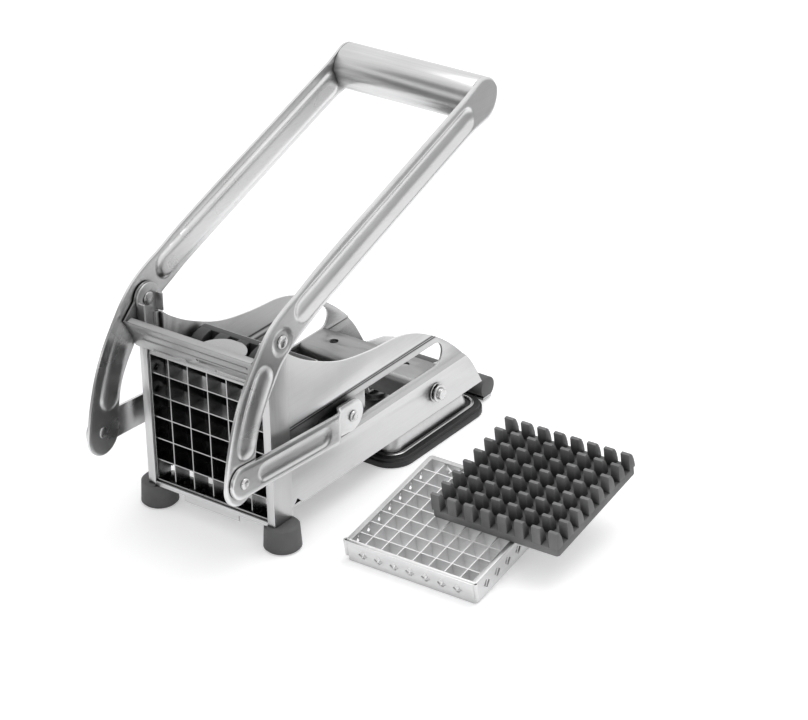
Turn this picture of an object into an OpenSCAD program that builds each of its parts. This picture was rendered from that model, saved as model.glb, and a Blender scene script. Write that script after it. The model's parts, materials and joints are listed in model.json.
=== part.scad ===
// Lever french fry cutter on a clamped suction base, with a spare cutting grid and a spare pusher block.
// Millimetres. X to the right seen from the blade end, Y to the rear, Z up.
// The origin is on the table, in the middle of the suction pad's underside.
// Each sub-part is a module of its own, drawn in place. The parameter "node" picks which are drawn.

/* [What to draw] */
// One sub-part by name, or all

/* [Sheet and chamber] */
// Thickness of the folded body sheet
sheet = 1.2; // [0.9:0.1:1.3]
// Height of the floor's underside above the table
floor_z = 17.2; // [17.1:0.05:17.4]
// Place of the blades' cutting plane along the cutter
blade_y = -140; // [-140.5:0.1:-139.5]
// Distance of the walls' front edge behind the cutting plane
wall_back = 8.5; // [7:0.5:10]
// Length of a side wall
wall_length = 172; // [170:0.5:173]
// Height of a side wall at its front shoulder
wall_height = 91.7; // [88:0.1:93]
// How far the guide band is pressed into the chamber
band_in = 1.5; // [1:0.1:1.6]
// Height of the guide band's lower edge
band_low = 41.3; // [40:0.1:42]
// Height of the guide band's upper edge
band_high = 61.5; // [60:0.1:63]
// Height of each sloped step at the band's edges
band_step = 2; // [1.6:0.1:2.4]

/* [Wall slot] */
// Height of the slot, where the pusher's cross pin runs
slot_z = 50.3; // [50:0.1:50.6]
// Half the slot's height
slot_r = 7; // [6.9:0.05:7.2]
// Distance of the slot's front end centre behind the cutting plane
slot_front = 42.5; // [41:0.5:43]
// Distance of the slot's rear end centre behind the cutting plane
slot_rear = 139.5; // [138.5:0.5:142]

/* [Posts and feet] */
// How far the posts' front face stands ahead of the cutting plane
post_lead = 2.3; // [2.2:0.1:2.6]
// Depth of a post's side, front to rear
post_deep = 15; // [14:0.5:15.5]
// Width of a post's front flange
post_flange = 4.8; // [4:0.1:4.9]
// Height of the posts' lower end
post_low = 11.8; // [11:0.1:12]
// Radius of a post's round head
post_head_r = 8.4; // [8:0.1:8.8]
// Radius of a foot at the table
foot_r = 10; // [9.6:0.1:11]
// Radius of a foot at its top
foot_top_r = 9.3; // [9.2:0.1:9.6]
// Height of a foot
foot_h = 14.2; // [13.8:0.1:14.6]
// Distance of a foot from the middle plane
foot_x = 41; // [40.5:0.1:41.5]
// Distance of the feet behind the cutting plane
foot_back = 4.3; // [4:0.1:5]

/* [Lever] */
// Distance of the main pivot behind the cutting plane
pivot_back = 5.5; // [5.2:0.1:5.8]
// Height of the main pivot
pivot_z = 117.7; // [117.2:0.1:118.5]
// Radius of the pivot shank
pivot_r = 2.4; // [2.2:0.1:2.6]
// Thickness of a lever arm
arm_t = 2; // [1.8:0.1:2.2]
// Width of an upper arm
arm_w = 25; // [24:0.1:25.5]
// Rise of the upper arms above level, in degrees
arm_rise = 18.7; // [17.5:0.1:20]
// Offset of the upper arms' centre line from the pivot
arm_off = 8.3; // [7.8:0.1:8.6]
// Length of the upper arms from the pivot to the handle's axis
arm_len = 185.3; // [180:0.5:190]
// Half the width of the curved lower arms
arc_half = 11.4; // [11:0.1:11.8]
// Distance of the lower arm's arc centre behind the pivot
arc_y = 82.2; // [80:0.2:84]
// Drop of the lower arm's arc centre below the pivot
arc_drop = 82.3; // [81:0.1:83.5]
// Forward offset of the lower pin from the pivot
low_fwd = 37; // [36.6:0.1:37.4]
// Drop of the lower pin below the pivot
low_drop = 61.4; // [61:0.1:61.8]
// Wall of the handle tube
tube_wall = 1.2; // [1:0.1:1.6]

/* [Links and pusher] */
// Distance of the cross pin behind the cutting plane
pin_back = 62; // [61.8:0.1:62.2]
// Radius of the cross pin
pin_r = 2.2; // [2:0.1:2.4]
// Thickness of a link
link_t = 2.2; // [1.8:0.1:2.4]
// Width of a link at its middle
link_w = 16.4; // [15.5:0.1:17]
// Radius of a link's front eye
link_front_r = 8.6; // [8.4:0.1:8.8]
// Radius of a link's rear eye
link_rear_r = 9; // [8.4:0.1:9.2]
// Distance of the pusher's steel plate behind the cutting plane
plate_back = 43.7; // [43.3:0.1:44]
// Height of the steel plate's top edge
plate_top = 88.5; // [87:0.5:89]
// Length of the pusher's side flanges
push_flange = 37.5; // [34:0.5:38]

/* [Cutting grids] */
// Cell pitch of the fitted grid, one french fry wide
pitch = 12.7; // [12.65:0.01:12.72]
// Cells across the fitted grid
cells = 6; // [6:1:6]
// Cells across the spare grid, which has the same clear width
spare_cells = 8; // [8:1:8]
// Height of the fitted grid's lowest cell
cell_low = 15.6; // [15.5:0.05:15.8]
// Depth of a cutting grid's frame, front to rear
cart_t = 12; // [11.6:0.1:12.1]
// Thickness of a frame's sheet
cart_wall = 1; // [0.9:0.05:1.05]
// Thickness of a blade
blade_t = 0.6; // [0.5:0.05:0.7]
// Width of a frame's finger tab
tab_w = 28; // [27.4:0.2:30]
// Reach of the finger tab behind its frame
tab_reach = 13.6; // [12.4:0.1:13.6]

/* [Pusher blocks] */
// Thickness of a block's base
block_base = 4.4; // [4:0.1:5]
// Height of the pegs above the base
peg_h = 9.8; // [9:0.1:10.2]

/* [Suction base] */
// Width of the rubber pad
pad_x = 90; // [88:0.5:92]
// Length of the rubber pad
pad_y = 88; // [86:0.5:89]
// Corner radius of the pad
pad_corner = 14; // [13:0.5:15]
// Thickness of the pad
pad_t = 5; // [4.8:0.1:5.2]
// Height of the clamp lever's axle
axle_z = 29.5; // [29.3:0.1:29.6]
// Place of the axle along the cutter
axle_y = -2.4; // [-2.8:0.1:-2]
// Radius of the axle
axle_r = 3.2; // [3:0.1:3.4]
// Radius of the clamp lever's grip
grip_r = 6; // [5.8:0.1:6.2]
// Place of the grip's axis along the cutter
grip_y = 51.1; // [51:0.1:52]
// Height of the grip's axis
grip_z = 7.5; // [7.3:0.1:7.8]

/* [Retainer] */
// Thickness of the retainer flap
flap_t = 1; // [0.9:0.05:1]
// Height of the flap's lower edge
flap_low = 94.3; // [94:0.1:95]
// Lean of the flap's face away from upright, in degrees
flap_lean = 26; // [22:1:30]
// Length of the flap's face along its slope
flap_face = 19; // [18:0.5:20]

/* [Loose pieces beside the cutter] */
// Left front corner of the spare frame, across the cutter
spare_x = 75.7; // [74:0.5:90]
// Left front corner of the spare frame, along the cutter
spare_y = -127.2; // [-135:0.5:-100]
// Turn of the spare frame on the table, in degrees
spare_turn = 1.6; // [0:0.2:10]
// Place of the spare block on the frame, across
stack_x = 29.5; // [26:0.5:32]
// Place of the spare block on the frame, along
stack_y = 36.2; // [32:0.5:38]
// Turn of the spare block on the frame, in degrees
stack_turn = 0.3; // [0:0.1:3]

/* [Hidden] */
$fn = 64;
steel = [0.76, 0.77, 0.78];
bright = [0.86, 0.87, 0.88];
rubber = [0.09, 0.09, 0.1];
plastic = [0.16, 0.16, 0.17];

// Clearances and overruns
run = 0.06;        // radial running clearance of every shaft
seat = 0.1;        // gap where one piece seats on another
side_gap = 0.3;    // gap between the moving layers of the linkage
over = 1;          // overrun of a cut
lap = 0.5;         // overlap that joins two solids of one piece

cart_room = 0.5;   // room beside a cutting grid in the chamber
push_room = 1.3;   // room beside the pusher's flanges
block_room = 0.7;  // room beside a pusher block
arm_room = 0.7;    // room between the retainer's ears and the lever arms

// The chamber takes its width from the cutting grid, and the pusher from the chamber
cell_span = pitch * cells;
spare_pitch = cell_span / spare_cells;
cart_half = cell_span / 2 + cart_wall;
cart_high = cell_span + 2 * cart_wall;
clear_half = cart_half + cart_room;
push_half = clear_half - band_in - push_room;
block_half = clear_half - band_in - block_room;

// The layers of the linkage, outwards from a wall
out_half = clear_half + sheet;
post_out = out_half + sheet;
ear_in = post_out + seat;
ear_out = ear_in + flap_t;
arm_in = ear_out + arm_room;
arm_out = arm_in + arm_t;
link_in = arm_out + side_gap;
link_out = link_in + link_t;
eye_in = out_half + 2 * side_gap;
eye_out = eye_in + link_t;
head_t = 0.6;      // thickness of a rivet head's rim
head_dome = 1.1;   // rise of a rivet head's domed face
head_r = 3;        // radius of a rivet head
// A head's dome from its rim to its middle, as shares of its radius and rise
dome_shares = [[1, 0], [0.94, 0.35], [0.78, 0.68], [0.5, 0.91], [0, 1]];

// Places along the cutter
pivot_y = blade_y + pivot_back;
post_front = blade_y - post_lead;
pin_y = blade_y + pin_back;
plate_y = blade_y + plate_back;
front_pin_y = pivot_y - low_fwd;
front_pin_z = pivot_z - low_drop;

// Walls: shares of the wall's length and height along its top edge, front to rear
wall_shares = [[0, 1], [0.026, 0.989], [0.063, 0.931], [0.149, 0.83], [0.284, 0.72], [0.43, 0.667],
  [0.56, 0.645], [0.645, 0.602], [0.725, 0.529], [0.831, 0.395], [0.934, 0.205], [1, 0]];
wall_y = blade_y + wall_back;
band_lead = 5;               // length of flat wall ahead of the guide band, beside the grid
band_y = wall_y + band_lead;
relief = 4.5;                // depth of the notch at the foot of a wall
relief_lead = 5;             // place of that notch behind the wall's front edge
relief_y = wall_y + relief_lead;
floor_top = floor_z + sheet;
floor_lead = 6.5;            // front edge of the floor behind the walls' front edge
floor_end = 2;               // rear edge of the floor ahead of the walls' lower rear corner
floor_front = wall_y + floor_lead;
floor_rear = wall_y + wall_length - floor_end;
drain_r = 3;                 // radius of the floor's drain holes
drain_x = 22;
drain_y = -60;
collar_gap = 4.5;            // ring of open floor round the stem's collar

// Sill, grid seat and guides
cart_z = cell_low - cart_wall;
cart_front = post_front + sheet + seat;
shelf_top = cart_z - seat;
sill_lip = 1.5;              // rise of the sill's lip over the shelf
sill_half = 18;              // half the width of the middle tongue
sill_drop = 3.3;             // drop of the middle tongue below the shelf
shelf_deep = 16;             // depth of the shelf
guide_w = 2.2;               // width of the strips behind the grid
guide_top = floor_z + wall_height * wall_shares[1][1];
foot_soft = 1.2;             // rounding of the feet's edges

// Suction base
pad_soft = 1.4;
groove_w = 2;
groove_d = 0.8;
groove_in = 6;
bead_in = 4.5;
bead_w = 1.8;
bead_t = 1.1;
dome_foot_in = 8;            // inset of the dome's foot from the pad's edge
dome_mid_in = 9.5;
dome_top_in = 14.5;
dome_r = 8;
dome_top_r = 5;
dome_slice = 0.4;            // height of each section that the dome is drawn through
collar_r = 7.5;
collar_h = 14.5;
stem_r = 3.1;
stem_low = 1.6;              // gap between the pad and the stem's end
bridge_top = 43.5;
bridge_front = -20.5;
bridge_rear = 2.5;
bridge_bend = 4;
bridge_t = 1.5;
bridge_hole_r = 2.6;
bridge_hole_x = 24;
throw = 1.5;                 // offset of the eccentric disc on the axle
disc_r = 6;
disc_half = 4;
yoke_half = 10.5;
yoke_low = 21.6;
yoke_high = 38.6;
yoke_t = 1.2;
yoke_wall = 1.6;
clamp_x = 22;                // inner face of the clamp lever's arms
clamp_t = 1.5;
clamp_hub_r = 6.4;
bar_y = grip_y - grip_r;
lip_z = 0.9;                 // height of the plate's lip, on which the grip sits
lip_in = 1.5;
lip_reach = 9;
grip_half = 37.2;
// Clamp arm outline: shares of the grip's reach behind the axle and of its drop below it
clamp_shares = [[-0.018, -0.29], [0.765, -0.456], [0.82, -0.48], [0.89, -0.806], [0.89, -1.24],
  [0.93, -1.24], [0.93, -0.714], [0.9, -0.253], [0.729, -0.069], [0.018, 0.29]];
axle_end = 4;
clip_r = 5.4;
clip_t = 0.7;
ring_r = 4.9;
ring_gap = 2.4;
ring_slot = 1.3;

// Lever arms
arc_r = norm([low_fwd + arc_y, arc_drop - low_drop]);
arc_low_turn = atan2(arc_drop - low_drop, -low_fwd - arc_y);
arm_edge = arm_off + arm_w / 2;
arc_s = arc_y * cos(arm_rise) - arc_drop * sin(arm_rise);
arc_n = -arc_y * sin(arm_rise) - arc_drop * cos(arm_rise);
arm_start = arc_s - sqrt(pow(arc_r + arc_half, 2) - pow(arm_edge - arc_n, 2));
arc_top_turn = atan2(arm_edge - arc_n, arm_start - arc_s) + arm_rise;
arc_end_r = 11.9;            // radius of the lower arm's round end
arc_past = 1.8;              // reach of that end's centre past the pin
arc_end_turn = arc_low_turn + atan(arc_past / arc_r);
hub_r = 12.4;                // radius of the arm about the pivot
// The inside of the bend below the pivot, as shares of the arm's width
bend_shares = [[-0.46, -0.89], [0.03, -0.516], [0.68, -0.2], [1.49, 0.308], [0.3, 0.3]];
press_half = 8.6;            // half the width of the upper arm's pressed channel
press_in = 2.2;              // its depth
press_out = 2;               // its bulge on the inner face
press_from = 22.6;           // centres of its round ends, from the pivot
press_to = 164.4;
low_half = 7.4;              // half the width of the lower arm's channel
low_in = 1.4;
low_out = 0.5;
low_shift = 1;               // its shift towards the arc's centre
low_ring = arc_r - low_shift;
low_turns = [144.8, 162.4];  // its ends round the arc, in degrees
dish_r = 6.6;                // dish round the pivot rivet
dish_d = 0.4;
pivot_head_r = 3.6;
pin_shank_r = 1.9;
tube_r = arm_w / 2;
handle_y = pivot_y + arm_len * cos(arm_rise) - arm_off * sin(arm_rise);
handle_z = pivot_z + arm_len * sin(arm_rise) + arm_off * cos(arm_rise);

// Links
link_len = norm([pin_y - front_pin_y, slot_z - front_pin_z]);
link_tilt = atan((slot_z - front_pin_z) / (pin_y - front_pin_y));
step_at = 0.854 * link_len;  // where a link is stepped in towards the wall
step_run = 3.6;
step_fold = 1.2;
waist_at = 0.28 * link_len;
link_press_half = 5.4;
link_press_in = 1.1;
link_press_from = 16.6;
link_press_to = 64;
link_shank_r = 2.2;

// Pusher
carriage_low = floor_top + sheet;
flange_drop = 6.1;           // height of the side flanges below and above the cross pin
flange_rise = 9.7;
flange_corner = 3;
block_low = floor_top + lap;
block_top_gap = 2.5;         // gap between the block's top and the cells' top
block_high = cell_low + cell_span - block_top_gap;
screw_x = 22;
screw_rows = [25.5, 72];     // heights of the screws
screw_r = 1.8;
screw_head_r = 3.4;
screw_head_t = 1.5;
screw_slot = 1;
bush_r = slot_r - side_gap;

// Blocks: wedge pegs, as shares of the cell pitch and of the peg's foot
peg_wide_share = 0.54;
peg_foot_share = 0.57;
block_soft = 2;
peg_sink = 0.2;
peg_lift = 0.5;              // rise of the fitted block's pegs over the cells' middles, clear of the floor
// A peg seen from the side, as shares of its foot and its height: an upright face and a curved back
peg_shares = [[1, 0], [0.96, 0.28], [0.84, 0.6], [0.66, 0.85], [0.42, 1], [0.06, 1]];

// Frames and blades
frame_lip = 1.7;
frame_corner = 2.2;
slot_w = 3.9;                // side of the square slots that hold the blades' end tabs
twist = 28;                  // turn of the end tabs, in degrees
tab_l = 3.5;
curl_r = 1.4;                // rolled ends of a frame's lower rail
curl_bore = 0.7;
curl_from = cart_front + cart_t - wall_y + seat;   // they end ahead of the walls
tab_rise = 4;
blade_low = 0.3;
spare_tilt = atan(tab_reach / (cart_high + tab_rise - cart_wall));

// Retainer
flap_y = post_front - side_gap - flap_t;
flap_rise = flap_face * cos(flap_lean);
flap_run = flap_face * sin(flap_lean);
hem_in = 3;
hem_reach = 3.2;
rib_r = 0.75;
rib_shares = [0.42, 0.72];
rib_end = 8;
ear_r = 8.6;
notch_in = 9.5;
notch_out = 30.5;
notch_h = 2;
dot_r = 0.9;

// A point between b and c on a smooth curve that also passes a and d, at the share s of the way.
function curve_point(a, b, c, d, s) =
  ((2 * b) + (c - a) * s + (2 * a - 5 * b + 4 * c - d) * s * s + (3 * b - a - 3 * c + d) * s * s * s) / 2;
// A smooth curve through a list of points, each span cut into equal steps.
function smooth(points, steps) = let (last = len(points) - 1)
  [for (i = [0 : last - 1]) for (k = [0 : steps - 1])
    curve_point(points[max(i - 1, 0)], points[i], points[i + 1], points[min(i + 2, last)], k / steps), points[last]];
function scaled(shares, y, z) = [for (s = shares) [s[0] * y, s[1] * z]];
function turned(r, a) = [r * cos(a), r * sin(a)];

// Lays an outline, given along Y and Z, as a sheet from x0 with thickness t.
module side_sheet(x0, t) { translate([x0, 0, 0]) rotate([90, 0, 90]) linear_extrude(t) children(); }
// Lays a cross section, given along X and Z, as a bar that starts at y0.
module cross_bar(y0, length) { translate([0, y0 + length, 0]) rotate([90, 0, 0]) linear_extrude(length) children(); }
// Draws its children and their mirror image across the middle plane.
module both_sides() { children(); mirror([1, 0, 0]) children(); }
// A shaft or a hole along X, from x0 to x1.
module x_rod(x0, x1, y, z, r) { translate([x0, y, z]) rotate([0, 90, 0]) cylinder(r = r, h = x1 - x0); }
// A rivet head that faces outwards along X.
module x_head(x0, y, z, r) {
  translate([x0, y, z]) rotate([0, 90, 0]) rotate_extrude()
    polygon(concat([[0, 0], [r, 0]], [for (s = dome_shares) [r * s[0], head_t + head_dome * s[1]]]));
}
// A box given by its low and high corners.
module span_box(a, b) { translate(a) cube(b - a); }
// A centred rectangle with round corners.
module round_rect(x, y, r) {
  square([x - 2 * r, y], center = true);
  square([x, y - 2 * r], center = true);
  for (i = [-1, 1]) for (j = [-1, 1]) translate([i * (x / 2 - r), j * (y / 2 - r)]) circle(r = r);
}
// A bar with round ends between two places along its own axis.
module round_bar(from, to, half) {
  translate([from, -half]) square([to - from, 2 * half]);
  for (s = [from, to]) translate([s, 0]) circle(r = half);
}

// The fixed frame
module wall_outline() {
  difference() {
    translate([wall_y, floor_z]) polygon(concat([[0, 0]], smooth(scaled(wall_shares, wall_length, wall_height), 4)));
    translate([relief_y, floor_z]) polygon([[0, 0], [relief, relief], [2 * relief, 0]]);
  }
}
// Section of the right wall with the guide band pressed into the chamber.
module band_section() {
  inner = clear_half - band_in;
  polygon([[clear_half, floor_z], [clear_half, band_low - band_step], [inner, band_low], [inner, band_high],
    [clear_half, band_high + band_step], [clear_half, pivot_z], [out_half, pivot_z],
    [out_half, band_high + band_step], [inner + sheet, band_high], [inner + sheet, band_low],
    [out_half, band_low - band_step], [out_half, floor_z]]);
}
module slot_outline() {
  translate([blade_y, slot_z]) round_bar(slot_front, slot_rear, slot_r);
}
module right_wall() {
  low_x = clear_half - 2 * band_in;
  difference() {
    intersection() {
      union() {
        cross_bar(band_y, wall_length) band_section();
        span_box([clear_half, wall_y, floor_z], [out_half, band_y + lap, pivot_z]);
      }
      side_sheet(low_x, 2 * (out_half - low_x)) wall_outline();
    }
    side_sheet(low_x, 2 * (out_half - low_x)) slot_outline();
    x_rod(low_x, post_out, axle_y, axle_z, axle_r + run);
  }
}
module body_shell() {
  color(steel) {
    both_sides() right_wall();
    difference() {
      span_box([-clear_half - lap, floor_front, floor_z], [clear_half + lap, floor_rear, floor_top]);
      translate([0, axle_y, floor_z - over]) cylinder(r = collar_r + collar_gap, h = sheet + 2 * over);
      for (i = [-1, 1]) translate([i * drain_x, drain_y, floor_z - over]) cylinder(r = drain_r, h = sheet + 2 * over);
    }
  }
}
// A post: a side sheet with a round head at the pivot. Its front, rear and foot edges are turned inwards.
module right_post() {
  flange_x = post_out - post_flange;
  color(steel) difference() {
    union() {
      side_sheet(out_half, sheet) union() {
        translate([post_front, post_low]) square([post_deep, pivot_z - post_low]);
        translate([pivot_y, pivot_z]) circle(r = post_head_r);
      }
      span_box([flange_x, post_front, post_low], [post_out - lap, post_front + sheet, pivot_z]);
      span_box([flange_x, post_front + post_deep - sheet, floor_z + wall_height + seat],
        [post_out - lap, post_front + post_deep, pivot_z + sheet]);
      span_box([flange_x, post_front, post_low], [post_out - lap, post_front + post_deep, post_low + sheet]);
    }
    x_rod(out_half - over, post_out + over, pivot_y, pivot_z, pivot_r);
  }
}
module left_post() { mirror([1, 0, 0]) right_post(); }
// The shelf under the cutting grid, with a lip across its front and a tongue in the middle.
module front_sill() {
  half = post_out - post_flange;
  color(steel) union() {
    span_box([-clear_half, post_front + sheet, shelf_top - sheet], [clear_half, post_front + shelf_deep, shelf_top]);
    span_box([-half, post_front, shelf_top - sheet], [half, post_front + sheet, shelf_top + sill_lip]);
    span_box([-sill_half, post_front, shelf_top - sill_drop - sheet], [sill_half, post_front + sheet, shelf_top]);
  }
}
// Strips inside the walls that carry the posts' rear flanges down to the floor, behind the grid.
module grid_guides() {
  y = post_front + post_deep - sheet;
  color(steel) both_sides()
    span_box([clear_half - guide_w, y, floor_top], [clear_half, y + sheet, guide_top]);
}
// A foot: a tapered plug with a pocket for the post and a step for the shelf.
module right_foot() {
  y = blade_y + foot_back;
  pocket_x = post_out - post_flange - seat;
  color(rubber) difference() {
    translate([foot_x, y, 0]) rotate_extrude()
      polygon([[0, 0], [foot_r - foot_soft, 0], [foot_r, foot_soft], [foot_top_r, foot_h - foot_soft],
        [foot_top_r - foot_soft, foot_h], [0, foot_h]]);
    span_box([pocket_x, post_front - seat, post_low], [post_out + seat, post_front + post_deep + seat, 2 * foot_h]);
    span_box([foot_x - 2 * foot_r, y - 2 * foot_r, shelf_top - sheet - seat], [pocket_x + seat, y + 2 * foot_r, 2 * foot_h]);
  }
}
module left_foot() { mirror([1, 0, 0]) right_foot(); }

// The suction base
module clamp_bridge() {
  half = clear_half - band_in;
  bend_y = bridge_front + bridge_bend;
  bend_z = bridge_top - bridge_bend;
  color(steel) difference() {
    union() {
      span_box([-half, bend_y, bridge_top - bridge_t], [half, bridge_rear, bridge_top]);
      span_box([-half, bridge_front, axle_z + over], [half, bridge_front + bridge_t, bend_z]);
      intersection() {
        difference() {
          x_rod(-half, half, bend_y, bend_z, bridge_bend);
          x_rod(-half - over, half + over, bend_y, bend_z, bridge_bend - bridge_t);
        }
        span_box([-half, bridge_front, bend_z], [half, bend_y, bridge_top]);
      }
    }
    for (i = [-1, 1]) translate([i * bridge_hole_x, (bend_y + bridge_rear) / 2, bridge_top - bridge_t - over])
      cylinder(r = bridge_hole_r, h = bridge_t + 2 * over);
  }
}
module pad_outline(inset) { round_rect(pad_x - 2 * inset, pad_y - 2 * inset, pad_corner - inset); }
module suction_pad() {
  color(rubber) difference() {
    union() {
      linear_extrude(pad_t - pad_soft) pad_outline(0);
      linear_extrude(pad_t) pad_outline(pad_soft);
    }
    translate([0, 0, -over]) linear_extrude(groove_d + over) difference() {
      pad_outline(groove_in);
      pad_outline(groove_in + groove_w);
    }
  }
}
module dome_bead() {
  color(bright) translate([0, 0, pad_t]) linear_extrude(bead_t) difference() {
    pad_outline(bead_in);
    pad_outline(bead_in + bead_w);
  }
}
// One level section of the dome, inset from the pad's edge.
module dome_section(z, inset, r) {
  translate([0, 0, z]) linear_extrude(dome_slice) round_rect(pad_x - 2 * inset, pad_y - 2 * inset, r, $fn = 40);
}
module dome_form(inset, low, high) {
  hull() {
    dome_section(low, dome_foot_in + inset, dome_r - inset);
    dome_section((low + high) / 2, dome_mid_in + inset, dome_r - inset);
    dome_section(high - dome_slice, dome_top_in + inset, dome_top_r - inset);
  }
}
module suction_dome() {
  color(steel) difference() {
    dome_form(0, pad_t, floor_z);
    dome_form(sheet, pad_t - over, floor_z - sheet);
    translate([0, axle_y, pad_t]) cylinder(r = collar_r, h = 2 * floor_z);
  }
}
module dome_collar() {
  color(steel) translate([0, axle_y, pad_t]) difference() {
    cylinder(r = collar_r, h = collar_h);
    translate([0, 0, -over]) cylinder(r = stem_r + seat, h = collar_h + 2 * over);
  }
}

// The cutting grids, drawn lying on their rear face with the cutting face up
module end_slot() { rotate(45) square(slot_w, center = true); }
module frame_body(count, step) {
  mid = cart_high / 2;
  edge = mid - cart_wall / 2;
  difference() {
    union() {
      translate([0, mid, 0]) linear_extrude(cart_t) round_rect(2 * cart_half, cart_high, frame_corner);
      both_sides() translate([cart_half, curl_r, curl_from]) cylinder(r = curl_r, h = cart_t - curl_from);
    }
    both_sides() translate([cart_half, curl_r, curl_from]) cylinder(r = curl_bore, h = cart_t);
    span_box([-cell_span / 2, cart_wall, -over], [cell_span / 2, cart_wall + cell_span, cart_t - cart_wall]);
    span_box([-cell_span / 2 + frame_lip, cart_wall + frame_lip, 0],
      [cell_span / 2 - frame_lip, cart_high - cart_wall - frame_lip, cart_t + over]);
    for (k = [1 : count - 1], s = [-1, 1]) {
      place = k * step - cell_span / 2;
      translate([place, mid + s * edge, cart_t / 2]) rotate([90, 0, 0])
        linear_extrude(2 * cart_wall, center = true) end_slot();
      translate([s * edge, mid + place, cart_t / 2]) rotate([90, 0, 90])
        linear_extrude(2 * cart_wall, center = true) end_slot();
    }
  }
}
// The half round finger tab, raised over the top rail and turned back.
module finger_tab() {
  top = cart_high + tab_rise;
  translate([-tab_w / 2, cart_high - lap, 0]) cube([tab_w, tab_rise + lap, cart_wall]);
  translate([0, top, 0]) rotate([90, 0, 0]) linear_extrude(cart_wall) intersection() {
    circle(r = tab_w / 2);
    translate([-tab_w / 2, -tab_reach]) square([tab_w, tab_reach + cart_wall]);
  }
}
// Blades stand on edge and are halved into the other row where they cross.
module blade_row(count, step, cut_front) {
  mid = cart_high / 2;
  face = cart_t - cart_wall - blade_low / 4;
  half = (blade_low + face) / 2;
  for (k = [1 : count - 1]) translate([k * step - cell_span / 2, 0, 0]) {
    difference() {
      translate([-blade_t / 2, cart_wall, blade_low]) cube([blade_t, cell_span, face - blade_low]);
      for (j = [1 : count - 1]) translate([-over, mid + j * step - cell_span / 2 - blade_t / 2, cut_front ? half : -over])
        cube([2 * over, blade_t, half + over]);
    }
    for (s = [-1, 1]) translate([0, mid + s * (cell_span / 2 + cart_wall / 2 - seat), cart_t / 2]) rotate([90, 0, 0])
      linear_extrude(cart_wall, center = true) rotate(90 + s * twist) square([tab_l, blade_t], center = true);
  }
}
module cross_row(count, step) {
  translate([0, cart_high / 2, 0]) rotate(-90) translate([0, -cart_high / 2, 0]) blade_row(count, step, true);
}
// Stands a lying grid up in the cutter, or lays it on the table, propped by its finger tab.
module fitted() { translate([0, cart_front + cart_t, cart_z]) rotate([90, 0, 0]) children(); }
module laid() {
  translate([spare_x, spare_y, 0]) rotate(spare_turn) rotate([spare_tilt, 0, 0]) translate([cart_half, 0, 0]) children();
}
module grid_frame() { color(bright) fitted() { frame_body(cells, pitch); finger_tab(); } }
module grid_upright_blades() { color(bright) fitted() blade_row(cells, pitch, false); }
module grid_level_blades() { color(bright) fitted() cross_row(cells, pitch); }
module spare_grid_frame() { color(bright) laid() { frame_body(spare_cells, spare_pitch); finger_tab(); } }
module spare_upright_blades() { color(bright) laid() blade_row(spare_cells, spare_pitch, false); }
module spare_level_blades() { color(bright) laid() cross_row(spare_cells, spare_pitch); }

// The retainer: a leaning face across the front with an ear on each side, hung on the lever pivots
module flap_profile() {
  polygon([[flap_y, flap_low], [flap_y + flap_t, flap_low], [flap_y + flap_t - flap_run, flap_low + flap_rise],
    [flap_y - flap_run, flap_low + flap_rise]]);
}
module hem_profile() {
  y = flap_y - flap_run;
  z = flap_low + flap_rise;
  polygon([[y + flap_t / 4, z - flap_t], [y + hem_reach, z + flap_t / 2], [y + hem_reach, z + 1.5 * flap_t], [y, z + flap_t / 2]]);
}
module ear_outline() {
  polygon([[flap_y + flap_t / 2, flap_low + flap_t], [flap_y + 2 * flap_t, flap_low + 1.5 * flap_t],
    [pivot_y + 0.75 * ear_r, pivot_z - 0.65 * ear_r], [pivot_y, pivot_z + 0.98 * ear_r],
    [flap_y - flap_run + flap_t / 2, flap_low + flap_rise]]);
  translate([pivot_y, pivot_z]) circle(r = ear_r);
}
module retainer_flap() {
  color(steel) difference() {
    union() {
      side_sheet(-ear_out, 2 * ear_out) flap_profile();
      side_sheet(-ear_out + hem_in, 2 * (ear_out - hem_in)) hem_profile();
      both_sides() side_sheet(ear_in, flap_t) ear_outline();
      for (s = rib_shares) x_rod(-ear_out + rib_end, ear_out - rib_end, flap_y - s * flap_run + flap_t / 4,
        flap_low + s * flap_rise, rib_r);
    }
    both_sides() span_box([notch_in, flap_y - hem_reach, flap_low - over], [notch_out, flap_y + hem_reach, flap_low + notch_h]);
    x_rod(-ear_out - over, ear_out + over, pivot_y, pivot_z, pivot_r + run);
    translate([0, flap_y - 0.28 * flap_run, flap_low + 0.28 * flap_rise]) rotate([90 - flap_lean, 0, 0])
      cylinder(r = dot_r, h = hem_reach * 2, center = true);
  }
}

// The lever, drawn about its pivot
module arc_band(middle, half, from, to) {
  wide = 2 * (middle + half);
  translate([arc_y, -arc_drop]) intersection() {
    difference() {
      circle(r = middle + half, $fn = 180);
      circle(r = middle - half, $fn = 180);
    }
    polygon([[0, 0], turned(wide, from), turned(wide, (from + to) / 2), turned(wide, to)]);
  }
}
module on_arm_axis() { rotate(arm_rise) translate([0, arm_off]) children(); }
module arm_outline() {
  arc_band(arc_r, arc_half, arc_top_turn, arc_end_turn);
  translate([arc_y, -arc_drop] + turned(arc_r, arc_end_turn)) circle(r = arc_end_r);
  circle(r = hub_r);
  polygon(concat(smooth([for (i = [0 : 3]) arm_w * bend_shares[i]], 6), [arm_w * bend_shares[4]]));
  on_arm_axis() {
    translate([arm_start, -arm_w / 2]) square([arm_len - arm_start, arm_w]);
    translate([arm_len, 0]) circle(r = arm_w / 2);
  }
}
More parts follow.
